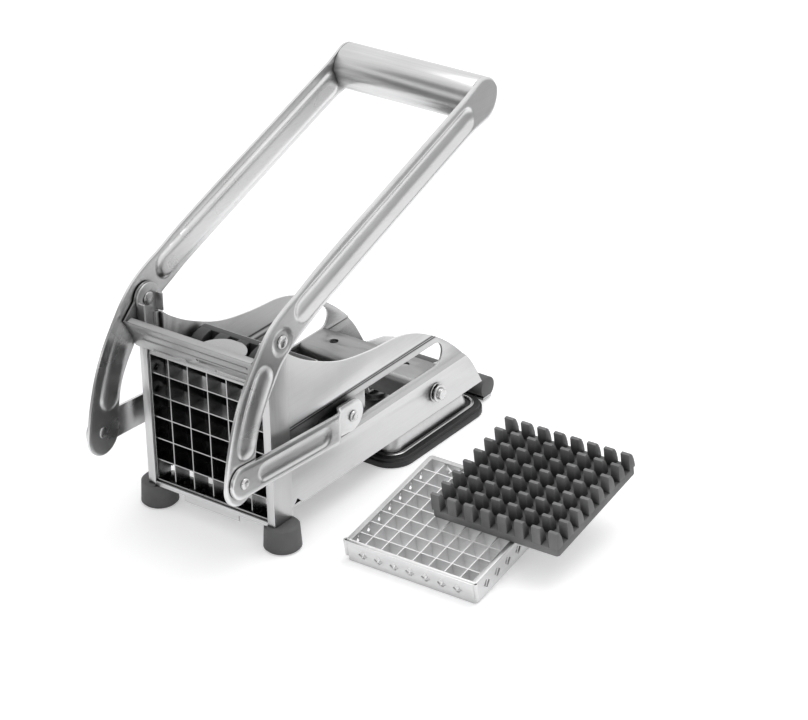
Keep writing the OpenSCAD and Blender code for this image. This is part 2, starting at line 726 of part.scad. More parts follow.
// A pressed channel is part of a round bar with ball ends, sunk into a face by its depth.
function press_r(half, deep) = (half * half + deep * deep) / (2 * deep);
module upper_press(grow) {
  r = press_r(press_half, press_in);
  translate([arm_out - press_in + r, pivot_y, pivot_z]) rotate([arm_rise, 0, 0]) translate([0, 0, arm_off]) {
    translate([0, press_from, 0]) rotate([-90, 0, 0]) cylinder(r = r + grow, h = press_to - press_from);
    for (s = [press_from, press_to]) translate([0, s, 0]) sphere(r = r + grow);
  }
}
module lower_press() {
  r = press_r(low_half, low_in);
  translate([arm_out - low_in + r, pivot_y + arc_y, pivot_z - arc_drop]) rotate([90, 0, 90]) {
    rotate(low_turns[0]) rotate_extrude(angle = low_turns[1] - low_turns[0]) translate([low_ring, 0]) circle(r = r);
    for (a = low_turns) rotate(a) translate([low_ring, 0, 0]) sphere(r = r);
  }
}
// The flat bulge behind the lower channel.
module lower_bulge() {
  arc_band(low_ring, low_half - low_out, low_turns[0], low_turns[1]);
  for (a = low_turns) translate([arc_y, -arc_drop] + turned(low_ring, a)) circle(r = low_half - low_out);
}
module right_lever_arm() {
  color(steel) difference() {
    union() {
      translate([0, pivot_y, pivot_z]) side_sheet(arm_in, arm_t) arm_outline();
      intersection() {
        upper_press(arm_t - press_in + press_out);
        translate([0, pivot_y, pivot_z]) side_sheet(arm_in - press_out, press_out + lap) arm_outline();
      }
      translate([0, pivot_y, pivot_z]) side_sheet(arm_in - low_out, low_out + lap) lower_bulge();
    }
    upper_press(0);
    lower_press();
    x_rod(arm_out - dish_d, arm_out + over, pivot_y, pivot_z, dish_r);
    x_rod(arm_in - over, arm_out + over, pivot_y, pivot_z, pivot_r + run);
    x_rod(arm_in - over, arm_out + over, front_pin_y, front_pin_z, pin_shank_r);
  }
}
module left_lever_arm() { mirror([1, 0, 0]) right_lever_arm(); }
module handle_tube() {
  color(steel) difference() {
    x_rod(-arm_in, arm_in, handle_y, handle_z, tube_r);
    x_rod(-arm_in - over, arm_in + over, handle_y, handle_z, tube_r - tube_wall);
  }
}
module pivot_rivets() {
  color(bright) both_sides() {
    x_rod(out_half - head_t - seat, out_half - seat, pivot_y, pivot_z, pivot_head_r);
    x_rod(out_half - 2 * seat, arm_out, pivot_y, pivot_z, pivot_r);
    x_head(arm_out - dish_d + seat, pivot_y, pivot_z, pivot_head_r);
  }
}
// The lever's share of the lower joint: the inner head and the shank within the arm.
module lever_pin_heads() {
  color(bright) both_sides() {
    x_rod(arm_in - 0.8 * head_t, arm_in, front_pin_y, front_pin_z, head_r);
    x_rod(arm_in - seat, arm_out, front_pin_y, front_pin_z, pin_shank_r);
  }
}

// The links, drawn along their own axis from the front pin
module link_outline() {
  w = link_w / 2;
  circle(r = link_front_r);
  polygon([[0, -link_front_r], [waist_at, -w], [link_len, -w], [link_len, w], [waist_at, w], [0, link_front_r]]);
  translate([link_len, 0]) circle(r = link_rear_r);
}
// The stretch of the link's outline between two places along it.
module link_stretch(from, to) {
  intersection() {
    link_outline();
    translate([from, -link_w]) square([to - from, 2 * link_w]);
  }
}
module link_press() {
  r = press_r(link_press_half, link_press_in);
  translate([link_out - link_press_in + r, link_press_from, 0]) {
    rotate([-90, 0, 0]) cylinder(r = r, h = link_press_to - link_press_from);
    for (s = [0, link_press_to - link_press_from]) translate([0, s, 0]) sphere(r = r);
  }
}
module step_section() {
  a = step_at - step_run;
  b = step_at + step_run;
  polygon([[link_in, a - step_fold], [link_out, a - step_fold], [link_out, a], [eye_out, b], [eye_out, b + step_fold],
    [eye_in, b + step_fold], [eye_in, b], [link_in, a]]);
}
module right_link() {
  color(steel) translate([0, front_pin_y, front_pin_z]) rotate([link_tilt, 0, 0]) difference() {
    union() {
      side_sheet(link_in, link_t) link_stretch(-2 * link_front_r, step_at - step_run);
      side_sheet(eye_in, link_t) link_stretch(step_at + step_run, 2 * link_len);
      translate([0, 0, -link_w / 2]) linear_extrude(link_w) step_section();
    }
    link_press();
    x_rod(link_in - over, link_out + over, 0, 0, link_shank_r);
    x_rod(eye_in - over, eye_out + over, link_len, 0, pin_r + run);
  }
}
module left_link() { mirror([1, 0, 0]) right_link(); }
module cross_pin() {
  color(bright) {
    x_rod(-eye_out - 2 * seat, eye_out + 2 * seat, pin_y, slot_z, pin_r);
    both_sides() x_head(eye_out + seat, pin_y, slot_z, head_r);
  }
}
// A link's share of the lower joint: the shank within the link and the outer head.
module right_link_pin() {
  color(bright) {
    x_rod(link_in, link_out + seat, front_pin_y, front_pin_z, link_shank_r);
    x_head(link_out, front_pin_y, front_pin_z, head_r);
  }
}
module left_link_pin() { mirror([1, 0, 0]) right_link_pin(); }

// The pusher
module at_screws() { for (i = [-1, 1], z = screw_rows) translate([i * screw_x, plate_y, z]) rotate([90, 0, 0]) children(); }
module flange_outline() {
  low = slot_z - flange_drop;
  high = slot_z + flange_rise;
  rear = plate_y + push_flange;
  polygon([[plate_y - lap, low], [rear, low], [rear, high - flange_corner], [rear - flange_corner, high], [plate_y - lap, high]]);
}
module pusher_carriage() {
  color(steel) difference() {
    union() {
      span_box([-push_half, plate_y - sheet, carriage_low], [push_half, plate_y, plate_top]);
      both_sides() side_sheet(push_half - sheet, sheet) flange_outline();
    }
    x_rod(-push_half - over, push_half + over, pin_y, slot_z, pin_r);
    at_screws() cylinder(r = screw_r, h = 2 * (sheet + over), center = true);
  }
}
// Wedge pegs in rows, each with an upright face and a curved back.
module peg_rows(count, step, wide, foot, first) {
  for (i = [0 : count - 1], j = [0 : count - 1])
    translate([(i - (count - 1) / 2) * step - wide / 2, first + j * step, -peg_sink])
      rotate([90, 0, 90]) linear_extrude(wide)
        polygon(concat([[0, 0]], scaled(peg_shares, foot, peg_h + peg_sink)));
}
module pusher_block() {
  high = block_high - block_low;
  foot = peg_foot_share * pitch;
  front = plate_y - sheet;
  color(plastic) difference() {
    union() {
      cross_bar(front - block_base, block_base) translate([0, block_low + high / 2]) round_rect(2 * block_half, high, block_soft);
      translate([0, front - block_base, 0]) rotate([90, 0, 0])
        peg_rows(cells, pitch, peg_wide_share * pitch, foot, cell_low + (pitch - foot) / 2 + peg_lift);
    }
    at_screws() cylinder(r = screw_r, h = 2 * (sheet + block_base / 2), center = true);
  }
}
module pusher_screws() {
  color(bright) at_screws() {
    cylinder(r = screw_r, h = sheet + block_base / 2);
    difference() {
      translate([0, 0, -screw_head_t]) cylinder(r = screw_head_r, h = screw_head_t);
      translate([-screw_slot / 2, -2 * screw_head_r, -2 * screw_head_t]) cube([screw_slot, 4 * screw_head_r, 1.5 * screw_head_t]);
    }
  }
}
module guide_bushes() {
  color(plastic) both_sides() difference() {
    x_rod(push_half, out_half + side_gap, pin_y, slot_z, bush_r);
    x_rod(push_half - over, out_half + over, pin_y, slot_z, pin_r);
  }
}
module spare_block() {
  side = 2 * block_half;
  foot = peg_foot_share * spare_pitch;
  wide = peg_wide_share * spare_pitch;
  color(plastic) laid() translate([stack_x - cart_half, stack_y, cart_t + seat]) rotate(stack_turn) translate([side / 2, 0, 0]) {
    linear_extrude(block_base) translate([0, side / 2]) round_rect(side, side, block_soft);
    translate([0, 0, block_base]) peg_rows(spare_cells, (side - wide) / (spare_cells - 1), wide, foot, 0);
  }
}

// The clamp lever
module clamp_outline() {
  translate([axle_y, axle_z]) {
    circle(r = clamp_hub_r);
    polygon(scaled(clamp_shares, grip_y - axle_y, axle_z - grip_z));
  }
}
module clamp_plate() {
  half = clamp_x + clamp_t;
  bar_high = 0.6 * (axle_z - grip_z);
  color(steel) {
    both_sides() difference() {
      side_sheet(clamp_x, clamp_t) clamp_outline();
      x_rod(clamp_x - over, half + over, axle_y, axle_z, axle_r);
    }
    span_box([-half, bar_y, lip_z], [half, bar_y + clamp_t, bar_high]);
    span_box([-half, bar_y, lip_z], [half, bar_y + lip_reach, lip_z + clamp_t]);
    span_box([-grip_half, bar_y + lip_in, lip_z], [grip_half, bar_y + lip_reach, lip_z + clamp_t]);
  }
}
module clamp_grip() {
  half = clamp_x + clamp_t + seat;
  slot_y = bar_y + 0.4 * grip_r;
  color(rubber) difference() {
    x_rod(-grip_half, grip_half, grip_y, grip_z, grip_r);
    span_box([-half, bar_y - over, 0], [half, bar_y + clamp_t, grip_z + grip_r + over]);
    both_sides() span_box([clamp_x - seat, bar_y, 0], [half, slot_y + seat, grip_z + grip_r + over]);
    span_box([-grip_half - over, bar_y - over, -over], [grip_half + over, grip_y + grip_r, lip_z + clamp_t]);
  }
}
module clamp_axle() {
  color(bright) {
    x_rod(-post_out - axle_end, post_out + axle_end, axle_y, axle_z, axle_r);
    x_rod(-disc_half, disc_half, axle_y - throw, axle_z, disc_r);
  }
}
module axle_clips() {
  ring_x = out_half + ring_gap;
  color(bright) both_sides() difference() {
    union() {
      x_rod(out_half + side_gap, out_half + side_gap + clip_t, axle_y, axle_z, clip_r);
      x_rod(ring_x, ring_x + clip_t, axle_y, axle_z, ring_r);
    }
    x_rod(out_half, post_out + axle_end, axle_y, axle_z, axle_r);
    span_box([ring_x - over / 2, axle_y - ring_slot, axle_z - 2 * ring_r], [ring_x + clip_t + over, axle_y + ring_slot, axle_z]);
  }
}
module clamp_stem() {
  color(bright) difference() {
    union() {
      translate([0, axle_y, pad_t + stem_low]) cylinder(r = stem_r, h = yoke_low - pad_t - stem_low + yoke_t);
      span_box([-stem_r, axle_y - yoke_half, yoke_low], [stem_r, axle_y + yoke_half, yoke_high]);
    }
    span_box([-stem_r - over, axle_y - yoke_half + yoke_wall, yoke_low + yoke_t],
      [stem_r + over, axle_y + yoke_half - yoke_wall, yoke_high - yoke_wall]);
  }
}

body_shell();
left_post();
right_post();
front_sill();
grid_guides();
left_foot();
right_foot();
clamp_bridge();
suction_dome();
dome_bead();
suction_pad();
dome_collar();
grid_frame();
grid_upright_blades();
grid_level_blades();
retainer_flap();
left_lever_arm();
right_lever_arm();
handle_tube();
pivot_rivets();
lever_pin_heads();
pusher_carriage();
pusher_block();
pusher_screws();
guide_bushes();
left_link();
right_link();
cross_pin();
left_link_pin();
right_link_pin();
clamp_plate();
clamp_grip();
clamp_axle();
axle_clips();
clamp_stem();
spare_grid_frame();
spare_upright_blades();
spare_level_blades();
spare_block();
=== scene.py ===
# %% [markdown]
# A lever french fry cutter of folded stainless steel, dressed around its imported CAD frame. The frame
# gives every size and place. This script gives the surfaces their looks, in metres. Each step below first
# says what the piece or finish is on the real object, and then makes it.

import json
import math

import bmesh
import bpy
from mathutils import Matrix, Vector

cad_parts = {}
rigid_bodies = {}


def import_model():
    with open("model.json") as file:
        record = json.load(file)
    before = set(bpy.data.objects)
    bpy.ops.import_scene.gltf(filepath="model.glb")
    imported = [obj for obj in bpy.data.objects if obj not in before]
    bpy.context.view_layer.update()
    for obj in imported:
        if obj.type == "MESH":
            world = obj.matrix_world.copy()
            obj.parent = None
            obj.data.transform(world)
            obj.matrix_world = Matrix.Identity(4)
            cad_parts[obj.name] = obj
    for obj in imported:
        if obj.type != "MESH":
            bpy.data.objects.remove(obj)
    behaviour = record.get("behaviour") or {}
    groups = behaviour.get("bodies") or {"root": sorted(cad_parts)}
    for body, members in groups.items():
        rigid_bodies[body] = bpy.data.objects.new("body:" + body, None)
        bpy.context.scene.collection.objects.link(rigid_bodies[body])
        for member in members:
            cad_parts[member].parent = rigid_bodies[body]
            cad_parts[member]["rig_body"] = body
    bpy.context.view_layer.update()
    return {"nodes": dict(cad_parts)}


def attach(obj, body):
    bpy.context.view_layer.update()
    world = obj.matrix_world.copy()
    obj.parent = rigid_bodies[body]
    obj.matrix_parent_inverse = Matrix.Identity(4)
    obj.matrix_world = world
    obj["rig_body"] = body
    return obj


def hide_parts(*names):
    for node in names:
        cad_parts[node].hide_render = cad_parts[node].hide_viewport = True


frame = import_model()
nodes = frame["nodes"]
MM = 0.001

# %% [markdown]
# The photograph was taken from the front right with a long lens. A camera could be placed by eye, but
# then every later comparison would be off by a little. Here its place and turn were found by fitting the
# two cutting grids, the walls and the table to their known sizes, so they are written as plain values.

# %% Camera
IMAGE_WIDE = 808
FOCAL_PIXELS = 2950.7
SENSOR = 36.0
AZIMUTH = math.radians(37.161)
ELEVATION = math.radians(27.731)
ROLL = math.radians(-1.453)
CAMERA_SPOT = Vector((0.8680, -1.1210, 0.7806))
CLIP_NEAR, CLIP_FAR = 0.05, 50

flat = math.cos(ELEVATION)
back = Vector((math.sin(AZIMUTH) * flat, -math.cos(AZIMUTH) * flat, math.sin(ELEVATION)))
level = Vector((math.cos(AZIMUTH), math.sin(AZIMUTH), 0))
right = level * math.cos(ROLL) + back.cross(level) * math.sin(ROLL)
up = back.cross(right)
camera_data = bpy.data.cameras.new("photo_camera")
camera_data.sensor_width = SENSOR
camera_data.lens = FOCAL_PIXELS * SENSOR / IMAGE_WIDE
camera_data.clip_start = CLIP_NEAR
camera_data.clip_end = CLIP_FAR
camera = bpy.data.objects.new("photo_camera", camera_data)
camera.matrix_world = Matrix((right, up, back)).transposed().to_4x4()
camera.location = CAMERA_SPOT
bpy.context.scene.collection.objects.link(camera)
bpy.context.scene.camera = camera
bpy.context.scene.view_settings.view_transform = "Standard"
print("lens", round(camera_data.lens, 2), "mm")

# %% [markdown]
# A material is a node tree. Written out node by node it is long and hard to read, so each kind of node
# that comes up often has a small helper. A helper takes sockets or numbers and gives back the socket that
# holds its result.

# %% Node helpers
def add(tree, kind, **inputs):
    """Adds a node and sets its inputs by name."""
    node = tree.nodes.new(kind)
    for name, value in inputs.items():
        node.inputs[name.replace("_", " ")].default_value = value
    return node


def begin(name):
    """Starts a material and returns it with its tree and Principled shader."""
    material = bpy.data.materials.new(name)
    material.use_nodes = True
    tree = material.node_tree
    return material, tree, tree.nodes["Principled BSDF"]


def ramp(tree, source, stops):
    """Runs a value through a colour ramp. Each stop is a place and a grey, or a place and a colour."""
    node = tree.nodes.new("ShaderNodeValToRGB")
    while len(node.color_ramp.elements) < len(stops):
        node.color_ramp.elements.new(0.5)
    for element, (place, tone) in zip(node.color_ramp.elements, stops):
        element.position = place
        element.color = (tone, tone, tone, 1) if isinstance(tone, float) else (*tone, 1)
    tree.links.new(source, node.inputs["Fac"])
    return node.outputs["Color"]


def worked_out(tree, operation, *terms):
    """A Math node. Each term is a number or a socket."""
    node = tree.nodes.new("ShaderNodeMath")
    node.operation = operation
    for socket, term in zip(node.inputs, terms):
        if isinstance(term, (int, float)):
            socket.default_value = term
        else:
            tree.links.new(term, socket)
    return node.outputs["Value"]


def ranged(tree, value, start, stop, low=0.0, high=1.0):
    """Turns the range from start to stop into the range from low to high."""
    node = add(tree, "ShaderNodeMapRange", From_Min=start, From_Max=stop, To_Min=low, To_Max=high)
    tree.links.new(value, node.inputs["Value"])
    return node.outputs["Result"]


def multiplied(tree, tone, shade, share=None):
    """One colour times another. share is a socket that fades the product in."""
    mix = tree.nodes.new("ShaderNodeMix")
    mix.data_type = "RGBA"
    mix.blend_type = "MULTIPLY"
    mix.inputs["Factor"].default_value = 1.0
    if share:
        tree.links.new(share, mix.inputs["Factor"])
    tree.links.new(tone, mix.inputs["A"])
    tree.links.new(shade, mix.inputs["B"])
    return mix.outputs["Result"]


print("helpers: add, begin, ramp, worked_out, ranged, multiplied")

# %% [markdown]
# Where two sheets nearly touch, or deep inside the chamber, little light gets in. The Ambient Occlusion
# node measures how closed in a point is, and the darker tone there is painted shade, which gives each
# piece its outline. Painting such places by hand would not follow the pieces when they move.

# %% Painted crevice shade
CLOSED, OPEN = 0.15, 0.85   # how much open sky counts as fully closed in, and as fully free
CREVICE_SAMPLES = 6


def painted_crevice_shade(tree, tone, reach, floor):
    """Paints shade into a colour in crevices. reach is in millimetres, and floor is the darkest share left.
    """
    near = add(tree, "ShaderNodeAmbientOcclusion", Distance=reach * MM)
    near.samples = CREVICE_SAMPLES
    return multiplied(tree, tone, ranged(tree, near.outputs["AO"], CLOSED, OPEN, floor))


print("crevices read over", CREVICE_SAMPLES, "samples")

# %% [markdown]
# Each wall has a pressed guide band, with a long slot for the pusher's pin. The band's upper bend shows
# as two fine dark lines along the wall, and below the band the wall is darker. The bend itself is in the
# CAD. The lines are finer than any bevel, so the colour has them as painted shade, drawn by height and
# faded out towards the wall's rear corner. The darker wall below the band is painted shade too.

# %% Painted shade of the wall crease
CREASE_Z, CREASE_REACH = 62.6, 2.9     # height of the crease and half its width, mm
CREASE_END, CREASE_FADE = 4.0, 4.0     # where it ends, rearwards, and how long it takes to fade, mm
# The tones of the crease's two dark lines, which are painted shade.
HALF_CREASE = [(0.12, 1.0), (0.25, 0.16), (0.35, 0.16), (0.46, 0.62)]
CREASE = [(0.0, 1.0)] + HALF_CREASE + [(1 - place, tone) for place, tone in reversed(HALF_CREASE)]
# The wall below the guide band is painted darker: painted shade.
LOW_SHADE_FROM, LOW_SHADE_TO, LOW_SHADE = 34.0, 46.0, 0.74   # heights in mm, and the tone's share below them


def painted_crease_shade(tree, tone):
    """Paints the crease's two lines of shade into a colour, and paints it darker below the guide band."""
    where = tree.nodes.new("ShaderNodeTexCoord")
    place = tree.nodes.new("ShaderNodeSeparateXYZ")
    tree.links.new(where.outputs["Object"], place.inputs["Vector"])
    height, run = place.outputs["Z"], place.outputs["Y"]
    across = ranged(tree, height, (CREASE_Z - CREASE_REACH) * MM, (CREASE_Z + CREASE_REACH) * MM)
    ahead = ranged(tree, run, CREASE_END * MM, (CREASE_END - CREASE_FADE) * MM)
    lined = multiplied(tree, tone, ramp(tree, across, CREASE), ahead)
    return multiplied(tree, lined, ranged(tree, height, LOW_SHADE_FROM * MM, LOW_SHADE_TO * MM, LOW_SHADE))


print("crease at", CREASE_Z, "mm, with", len(CREASE), "stops")

# %% [markdown]
# No surface here is even: steel has brush marks and rubber has a grain. Both come from noise that reads
# the piece's own coordinates, so that it stays on the piece when the piece moves. A bump shows the noise
# as a relief in the light, where real dents that fine would need far too many points.

# %% Grain
GRAIN_DEEP = 0.2 * MM   # height of the relief that a bump stands for


def object_noise(tree, stretch, scale, detail=3.0):
    """Noise on the piece's own coordinates. A small number in stretch draws it out along that axis."""
    where = tree.nodes.new("ShaderNodeTexCoord")
    mapping = add(tree, "ShaderNodeMapping", Scale=stretch)
    tree.links.new(where.outputs["Object"], mapping.inputs["Vector"])
    noise = add(tree, "ShaderNodeTexNoise", Scale=scale, Detail=detail)
    tree.links.new(mapping.outputs["Vector"], noise.inputs["Vector"])
    return noise.outputs["Fac"]


def grained(tree, shader, height, strength):
    """Gives a shader a faint relief from a height."""
    bump = add(tree, "ShaderNodeBump", Strength=strength, Distance=GRAIN_DEEP)
    tree.links.new(height, bump.inputs["Height"])
    tree.links.new(bump.outputs["Normal"], shader.inputs["Normal"])


print("grain up to", GRAIN_DEEP / MM, "mm deep")

# %% [markdown]
# Sheet steel is brushed along the sheet before it is folded. The brush marks are far longer than they are
# wide, so one noise is drawn out along the brush. It gives a little change of tone and a faint relief. A
# second, slow noise stands for handling: it smudges the tone and the roughness. An image of brushed steel
# would stretch at the folds.

# %% Brushed steel
MARKS, MARK_DETAIL = 900.0, 4.0
MARK_LOW, MARK_HIGH = 0.25, 0.75             # the part of the noise that the marks' tone follows
SMUDGES = 22.0
SMUDGE_TONES = [(0.38, 0.93), (0.62, 1.0)]   # place in the noise, and the share of the tone there
SMUDGE_ROUGH = 0.12                          # how much the smudges change the roughness
EVEN = (1, 1, 1)                             # noise that isn't drawn out


def brushed_steel(name, grey, rough, brush, bump=0.02, spread=0.10, dark=0.25, reach=7.0, crease=False):
    """Steel of one grey. spread is the marks' change of tone, dark and reach are the painted crevice
    shade's.
    """
    material, tree, shader = begin(name)
    marks = object_noise(tree, brush, MARKS, MARK_DETAIL)
    smudge = object_noise(tree, EVEN, SMUDGES)
    shader.inputs["Metallic"].default_value = 1.0
    tone = ramp(tree, marks, [(MARK_LOW, grey * (1 - spread)), (MARK_HIGH, grey * (1 + spread / 2))])
    tone = multiplied(tree, tone, ramp(tree, smudge, SMUDGE_TONES))
    # The crease lines and the darker lower wall are painted shade.
    if crease:
        tone = painted_crease_shade(tree, tone)
    # The crevices get painted shade.
    tree.links.new(painted_crevice_shade(tree, tone, reach, dark), shader.inputs["Base Color"])
    roughness = worked_out(tree, "MULTIPLY_ADD", smudge, SMUDGE_ROUGH, rough - SMUDGE_ROUGH / 2)
    tree.links.new(roughness, shader.inputs["Roughness"])
    grained(tree, shader, marks, bump)
    return material


print("brush marks at", MARKS, "and smudges at", SMUDGES)

# %% [markdown]
# One steel for all would be simpler, but on the real cutter each sheet faces another way and looks
# lighter or darker. So each kind of piece has a tone that was matched to the photograph, which paints
# that light and shade into its colour, and brush marks that run along one of its sides.

# %% Steel finishes
ALONG_Y = (1.0, 0.02, 1.0)
ALONG_X = (0.02, 1.0, 1.0)
ALONG_Z = (1.0, 1.0, 0.02)
steel_wall = brushed_steel("satin_steel_walls", 0.90, 0.40, ALONG_Y, bump=0.004, spread=0.03, crease=True)
# The steel inside the shell is a darker copy of the wall steel: painted shade.
steel_in_shade = brushed_steel("satin_steel_in_shade", 0.62, 0.42, ALONG_Y, bump=0.008, spread=0.045, dark=0.05,
                             reach=40.0, crease=True)
steel_bridge = brushed_steel("satin_steel_bridge", 0.38, 0.40, ALONG_X, bump=0.01, spread=0.06,
                             reach=15.0)
steel_carriage = brushed_steel("satin_steel_carriage", 0.60, 0.36, ALONG_X, bump=0.01, spread=0.06,
                               reach=14.0)
steel_flap = brushed_steel("satin_steel_flap", 0.42, 0.36, ALONG_X, bump=0.01, spread=0.05)
steel_bead = brushed_steel("rolled_bead", 0.50, 0.30, ALONG_Y, bump=0.01)
steel_lever = brushed_steel("satin_steel_lever", 0.76, 0.29, ALONG_Y, bump=0.006, spread=0.04, dark=0.12,
                            reach=5.0)
steel_cross = brushed_steel("satin_steel_cross", 0.66, 0.34, ALONG_X, bump=0.01, spread=0.06)
steel_post = brushed_steel("satin_steel_posts", 0.62, 0.34, ALONG_Z, bump=0.01, spread=0.05)
steel_tube = brushed_steel("satin_steel_tube", 0.70, 0.30, ALONG_X)
steel_bright = brushed_steel("bright_steel", 0.68, 0.30, ALONG_X, spread=0.05, dark=0.75, reach=4.0)
# The spare grid's blades get a paler copy of the blade steel: painted light.
steel_spare_lit = brushed_steel("spare_blades_lit", 0.86, 0.48, ALONG_X, spread=0.05, dark=0.85, reach=4.0)
# The fitted grid's blades and frame get a darker copy of the blade steel: painted shade.
steel_blade_shaded = brushed_steel("ground_blades_shaded", 0.46, 0.26, ALONG_X, bump=0.01, spread=0.05, dark=0.07,
                            reach=14.0)
steel_pin = brushed_steel("turned_steel", 0.70, 0.25, EVEN)
print("materials so far, with the frame's own:", len(bpy.data.materials))

# %% [markdown]
# The feet and the pad are rubber, the grip is a softer dark grey, and the pusher blocks are moulded black
# plastic. One flat colour would look like paint, so a fine grain breaks the sheen and a slow cloud makes
# some places paler.

# %% Rubber and plastic
CLOUDS, GRAIN_DETAIL = 40.0, 4.0
CLOUD_LOW, CLOUD_HIGH = 0.3, 0.7   # the part of the noise that the tone follows
DEEP, PALE = 0.85, 1.35            # the cloud's darkest and palest share of the colour


def moulded(name, colour, rough, grain, bump, reach=5.0, dark=0.2):
    """Rubber or plastic. grain is how fine its texture is, dark and reach are the painted crevice shade's.
    """
    material, tree, shader = begin(name)
    texture = object_noise(tree, EVEN, grain, GRAIN_DETAIL)
    cloud = object_noise(tree, EVEN, CLOUDS)
    deep, pale = (tuple(part * share for part in colour) for share in (DEEP, PALE))
    tone = ramp(tree, cloud, [(CLOUD_LOW, deep), (CLOUD_HIGH, pale)])
    # The crevices get painted shade.
    tree.links.new(painted_crevice_shade(tree, tone, reach, dark), shader.inputs["Base Color"])
    shader.inputs["Roughness"].default_value = rough
    grained(tree, shader, texture, bump)
    return material


rubber_foot = moulded("grey_rubber_feet", (0.085, 0.085, 0.086), 0.62, 900.0, 0.25)
rubber_pad = moulded("black_rubber_pad", (0.014, 0.014, 0.015), 0.5, 700.0, 0.2)
rubber_grip = moulded("dark_grip", (0.10, 0.10, 0.101), 0.6, 900.0, 0.25)
# The block in the chamber and the guide bushes get a darker copy of the block plastic: painted shade.
plastic_in_shade = moulded("black_block_in_shade", (0.03, 0.03, 0.031), 0.5, 600.0, 0.2, 12.0, 0.05)
plastic_block = moulded("black_moulded_block", (0.155, 0.155, 0.156), 0.5, 600.0, 0.2, 10.0, 0.03)
print("materials with rubber and plastic:", len(bpy.data.materials))

# %% [markdown]
# Folded sheet and turned pins have no knife edges, and it is the small bevel along each edge that catches
# the light. A bevel needs whole faces, but a CAD node is loose triangles. So it is copied, its doubles
# are merged and its flat faces are joined. The node itself is left alone.

# %% Clean copies
DOUBLES = 2e-6              # corners closer than this are one, m
FLAT = math.radians(0.8)    # faces that meet at less than this are one


def merged_copy(node):
    """A clean mesh of a CAD node, with joined corners and flat faces."""
    mesh = nodes[node].data.copy()
    work = bmesh.new()
    work.from_mesh(mesh)
    bmesh.ops.remove_doubles(work, verts=work.verts, dist=DOUBLES)
    bmesh.ops.dissolve_limit(work, angle_limit=FLAT, verts=work.verts, edges=work.edges)
    work.to_mesh(mesh)
    work.free()
    mesh.materials.clear()
    return mesh


def placed(name, mesh):
    """A new object in the scene that holds a mesh."""
    obj = bpy.data.objects.new(name, mesh)
    bpy.context.scene.collection.objects.link(obj)
    return obj


print("copies merge corners within", DOUBLES, "m")

# %% [markdown]
# The bevel is a modifier, because it finds every edge by its angle and hardens the shading of the flats
# beside it. Modifiers are turned into plain mesh before the piece takes its body and material.

# %% Bevels and bodies
BEVEL_STEPS = 2


def settle(obj):
    """Turns the modifiers of an object into plain mesh."""
    graph = bpy.context.evaluated_depsgraph_get()
    mesh = bpy.data.meshes.new_from_object(obj.evaluated_get(graph), depsgraph=graph)
    obj.modifiers.clear()
    obj.data = mesh
    return obj


def bevelled(obj, width, angle):
    """Smooths an object and bevels its edges sharper than angle, in degrees. width is in millimetres."""
    obj.data.shade_smooth()
    bevel = obj.modifiers.new("edges", "BEVEL")
    bevel.width = width * MM
    bevel.segments = BEVEL_STEPS
    bevel.limit_method = "ANGLE"
    bevel.angle_limit = math.radians(angle)
    bevel.harden_normals = True
    return settle(obj)


def stand_for(obj, node, material):
    """Gives a finished piece its material, and makes it stand for a CAD node on that node's body."""
    obj.data.materials.clear()
    obj.data.materials.append(material)
    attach(obj, nodes[node]["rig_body"])
    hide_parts(node)
    return obj


print("each bevel has", BEVEL_STEPS, "steps")

# %% [markdown]
# Every piece that only needs a finish and its bevels is listed here by its slot, with the width of its
# bevel in millimetres. Blades' frames and clips get a narrow one, rubber and the rolled bead a wide one.

# %% Dressed pieces
BEVEL_FROM = 15.0   # degrees: the pressed bends meet the flats at little more than twenty
STEEL = {
    "body_shell": (steel_wall, 0.30), "left_post": (steel_post, 0.30), "right_post": (steel_post, 0.30),
    "front_sill": (steel_cross, 0.25), "grid_guides": (steel_in_shade, 0.20),
    "clamp_bridge": (steel_bridge, 0.30), "suction_dome": (steel_cross, 0.40),
    "dome_bead": (steel_bead, 0.60), "dome_collar": (steel_post, 0.30), "retainer_flap": (steel_flap, 0.25),
    "handle_tube": (steel_tube, 0.20), "pusher_carriage": (steel_carriage, 0.25),
    "clamp_plate": (steel_cross, 0.30),
}
BRIGHT_STEEL = {
    "pivot_rivets": (steel_pin, 0.30), "lever_pin_heads": (steel_pin, 0.30),
    "left_link_pin": (steel_pin, 0.30), "right_link_pin": (steel_pin, 0.30), "cross_pin": (steel_pin, 0.30),
    "pusher_screws": (steel_pin, 0.20), "clamp_axle": (steel_pin, 0.30), "axle_clips": (steel_pin, 0.15),
    "clamp_stem": (steel_pin, 0.20), "grid_frame": (steel_blade_shaded, 0.20),
    "spare_grid_frame": (steel_bright, 0.20),
}
FEET = {"left_foot": (rubber_foot, 0.40), "right_foot": (rubber_foot, 0.40)}
PAD = {"suction_pad": (rubber_pad, 0.40)}
GRIP = {"clamp_grip": (rubber_grip, 0.40)}
BUSHES = {"guide_bushes": (plastic_in_shade, 0.20)}
dressed = {}
for slot, pieces in (("steel", STEEL), ("bright_steel", BRIGHT_STEEL), ("grey_rubber", FEET),
                     ("black_rubber", PAD), ("grey_rubber", GRIP), ("black_plastic", BUSHES)):
    for node, (material, width) in pieces.items():
        piece = bevelled(placed(node + "_dressed", merged_copy(node)), width, BEVEL_FROM)
        dressed[node] = stand_for(piece, node, material)
print("bevelled", len(dressed), "pieces")

# %% [markdown]
# Between the walls little light gets in, so the faces inside the shell have a darker copy of the wall
# steel, which is painted shade. Its painted crevice shade reaches further than on the outside of the
# walls, which stand free.

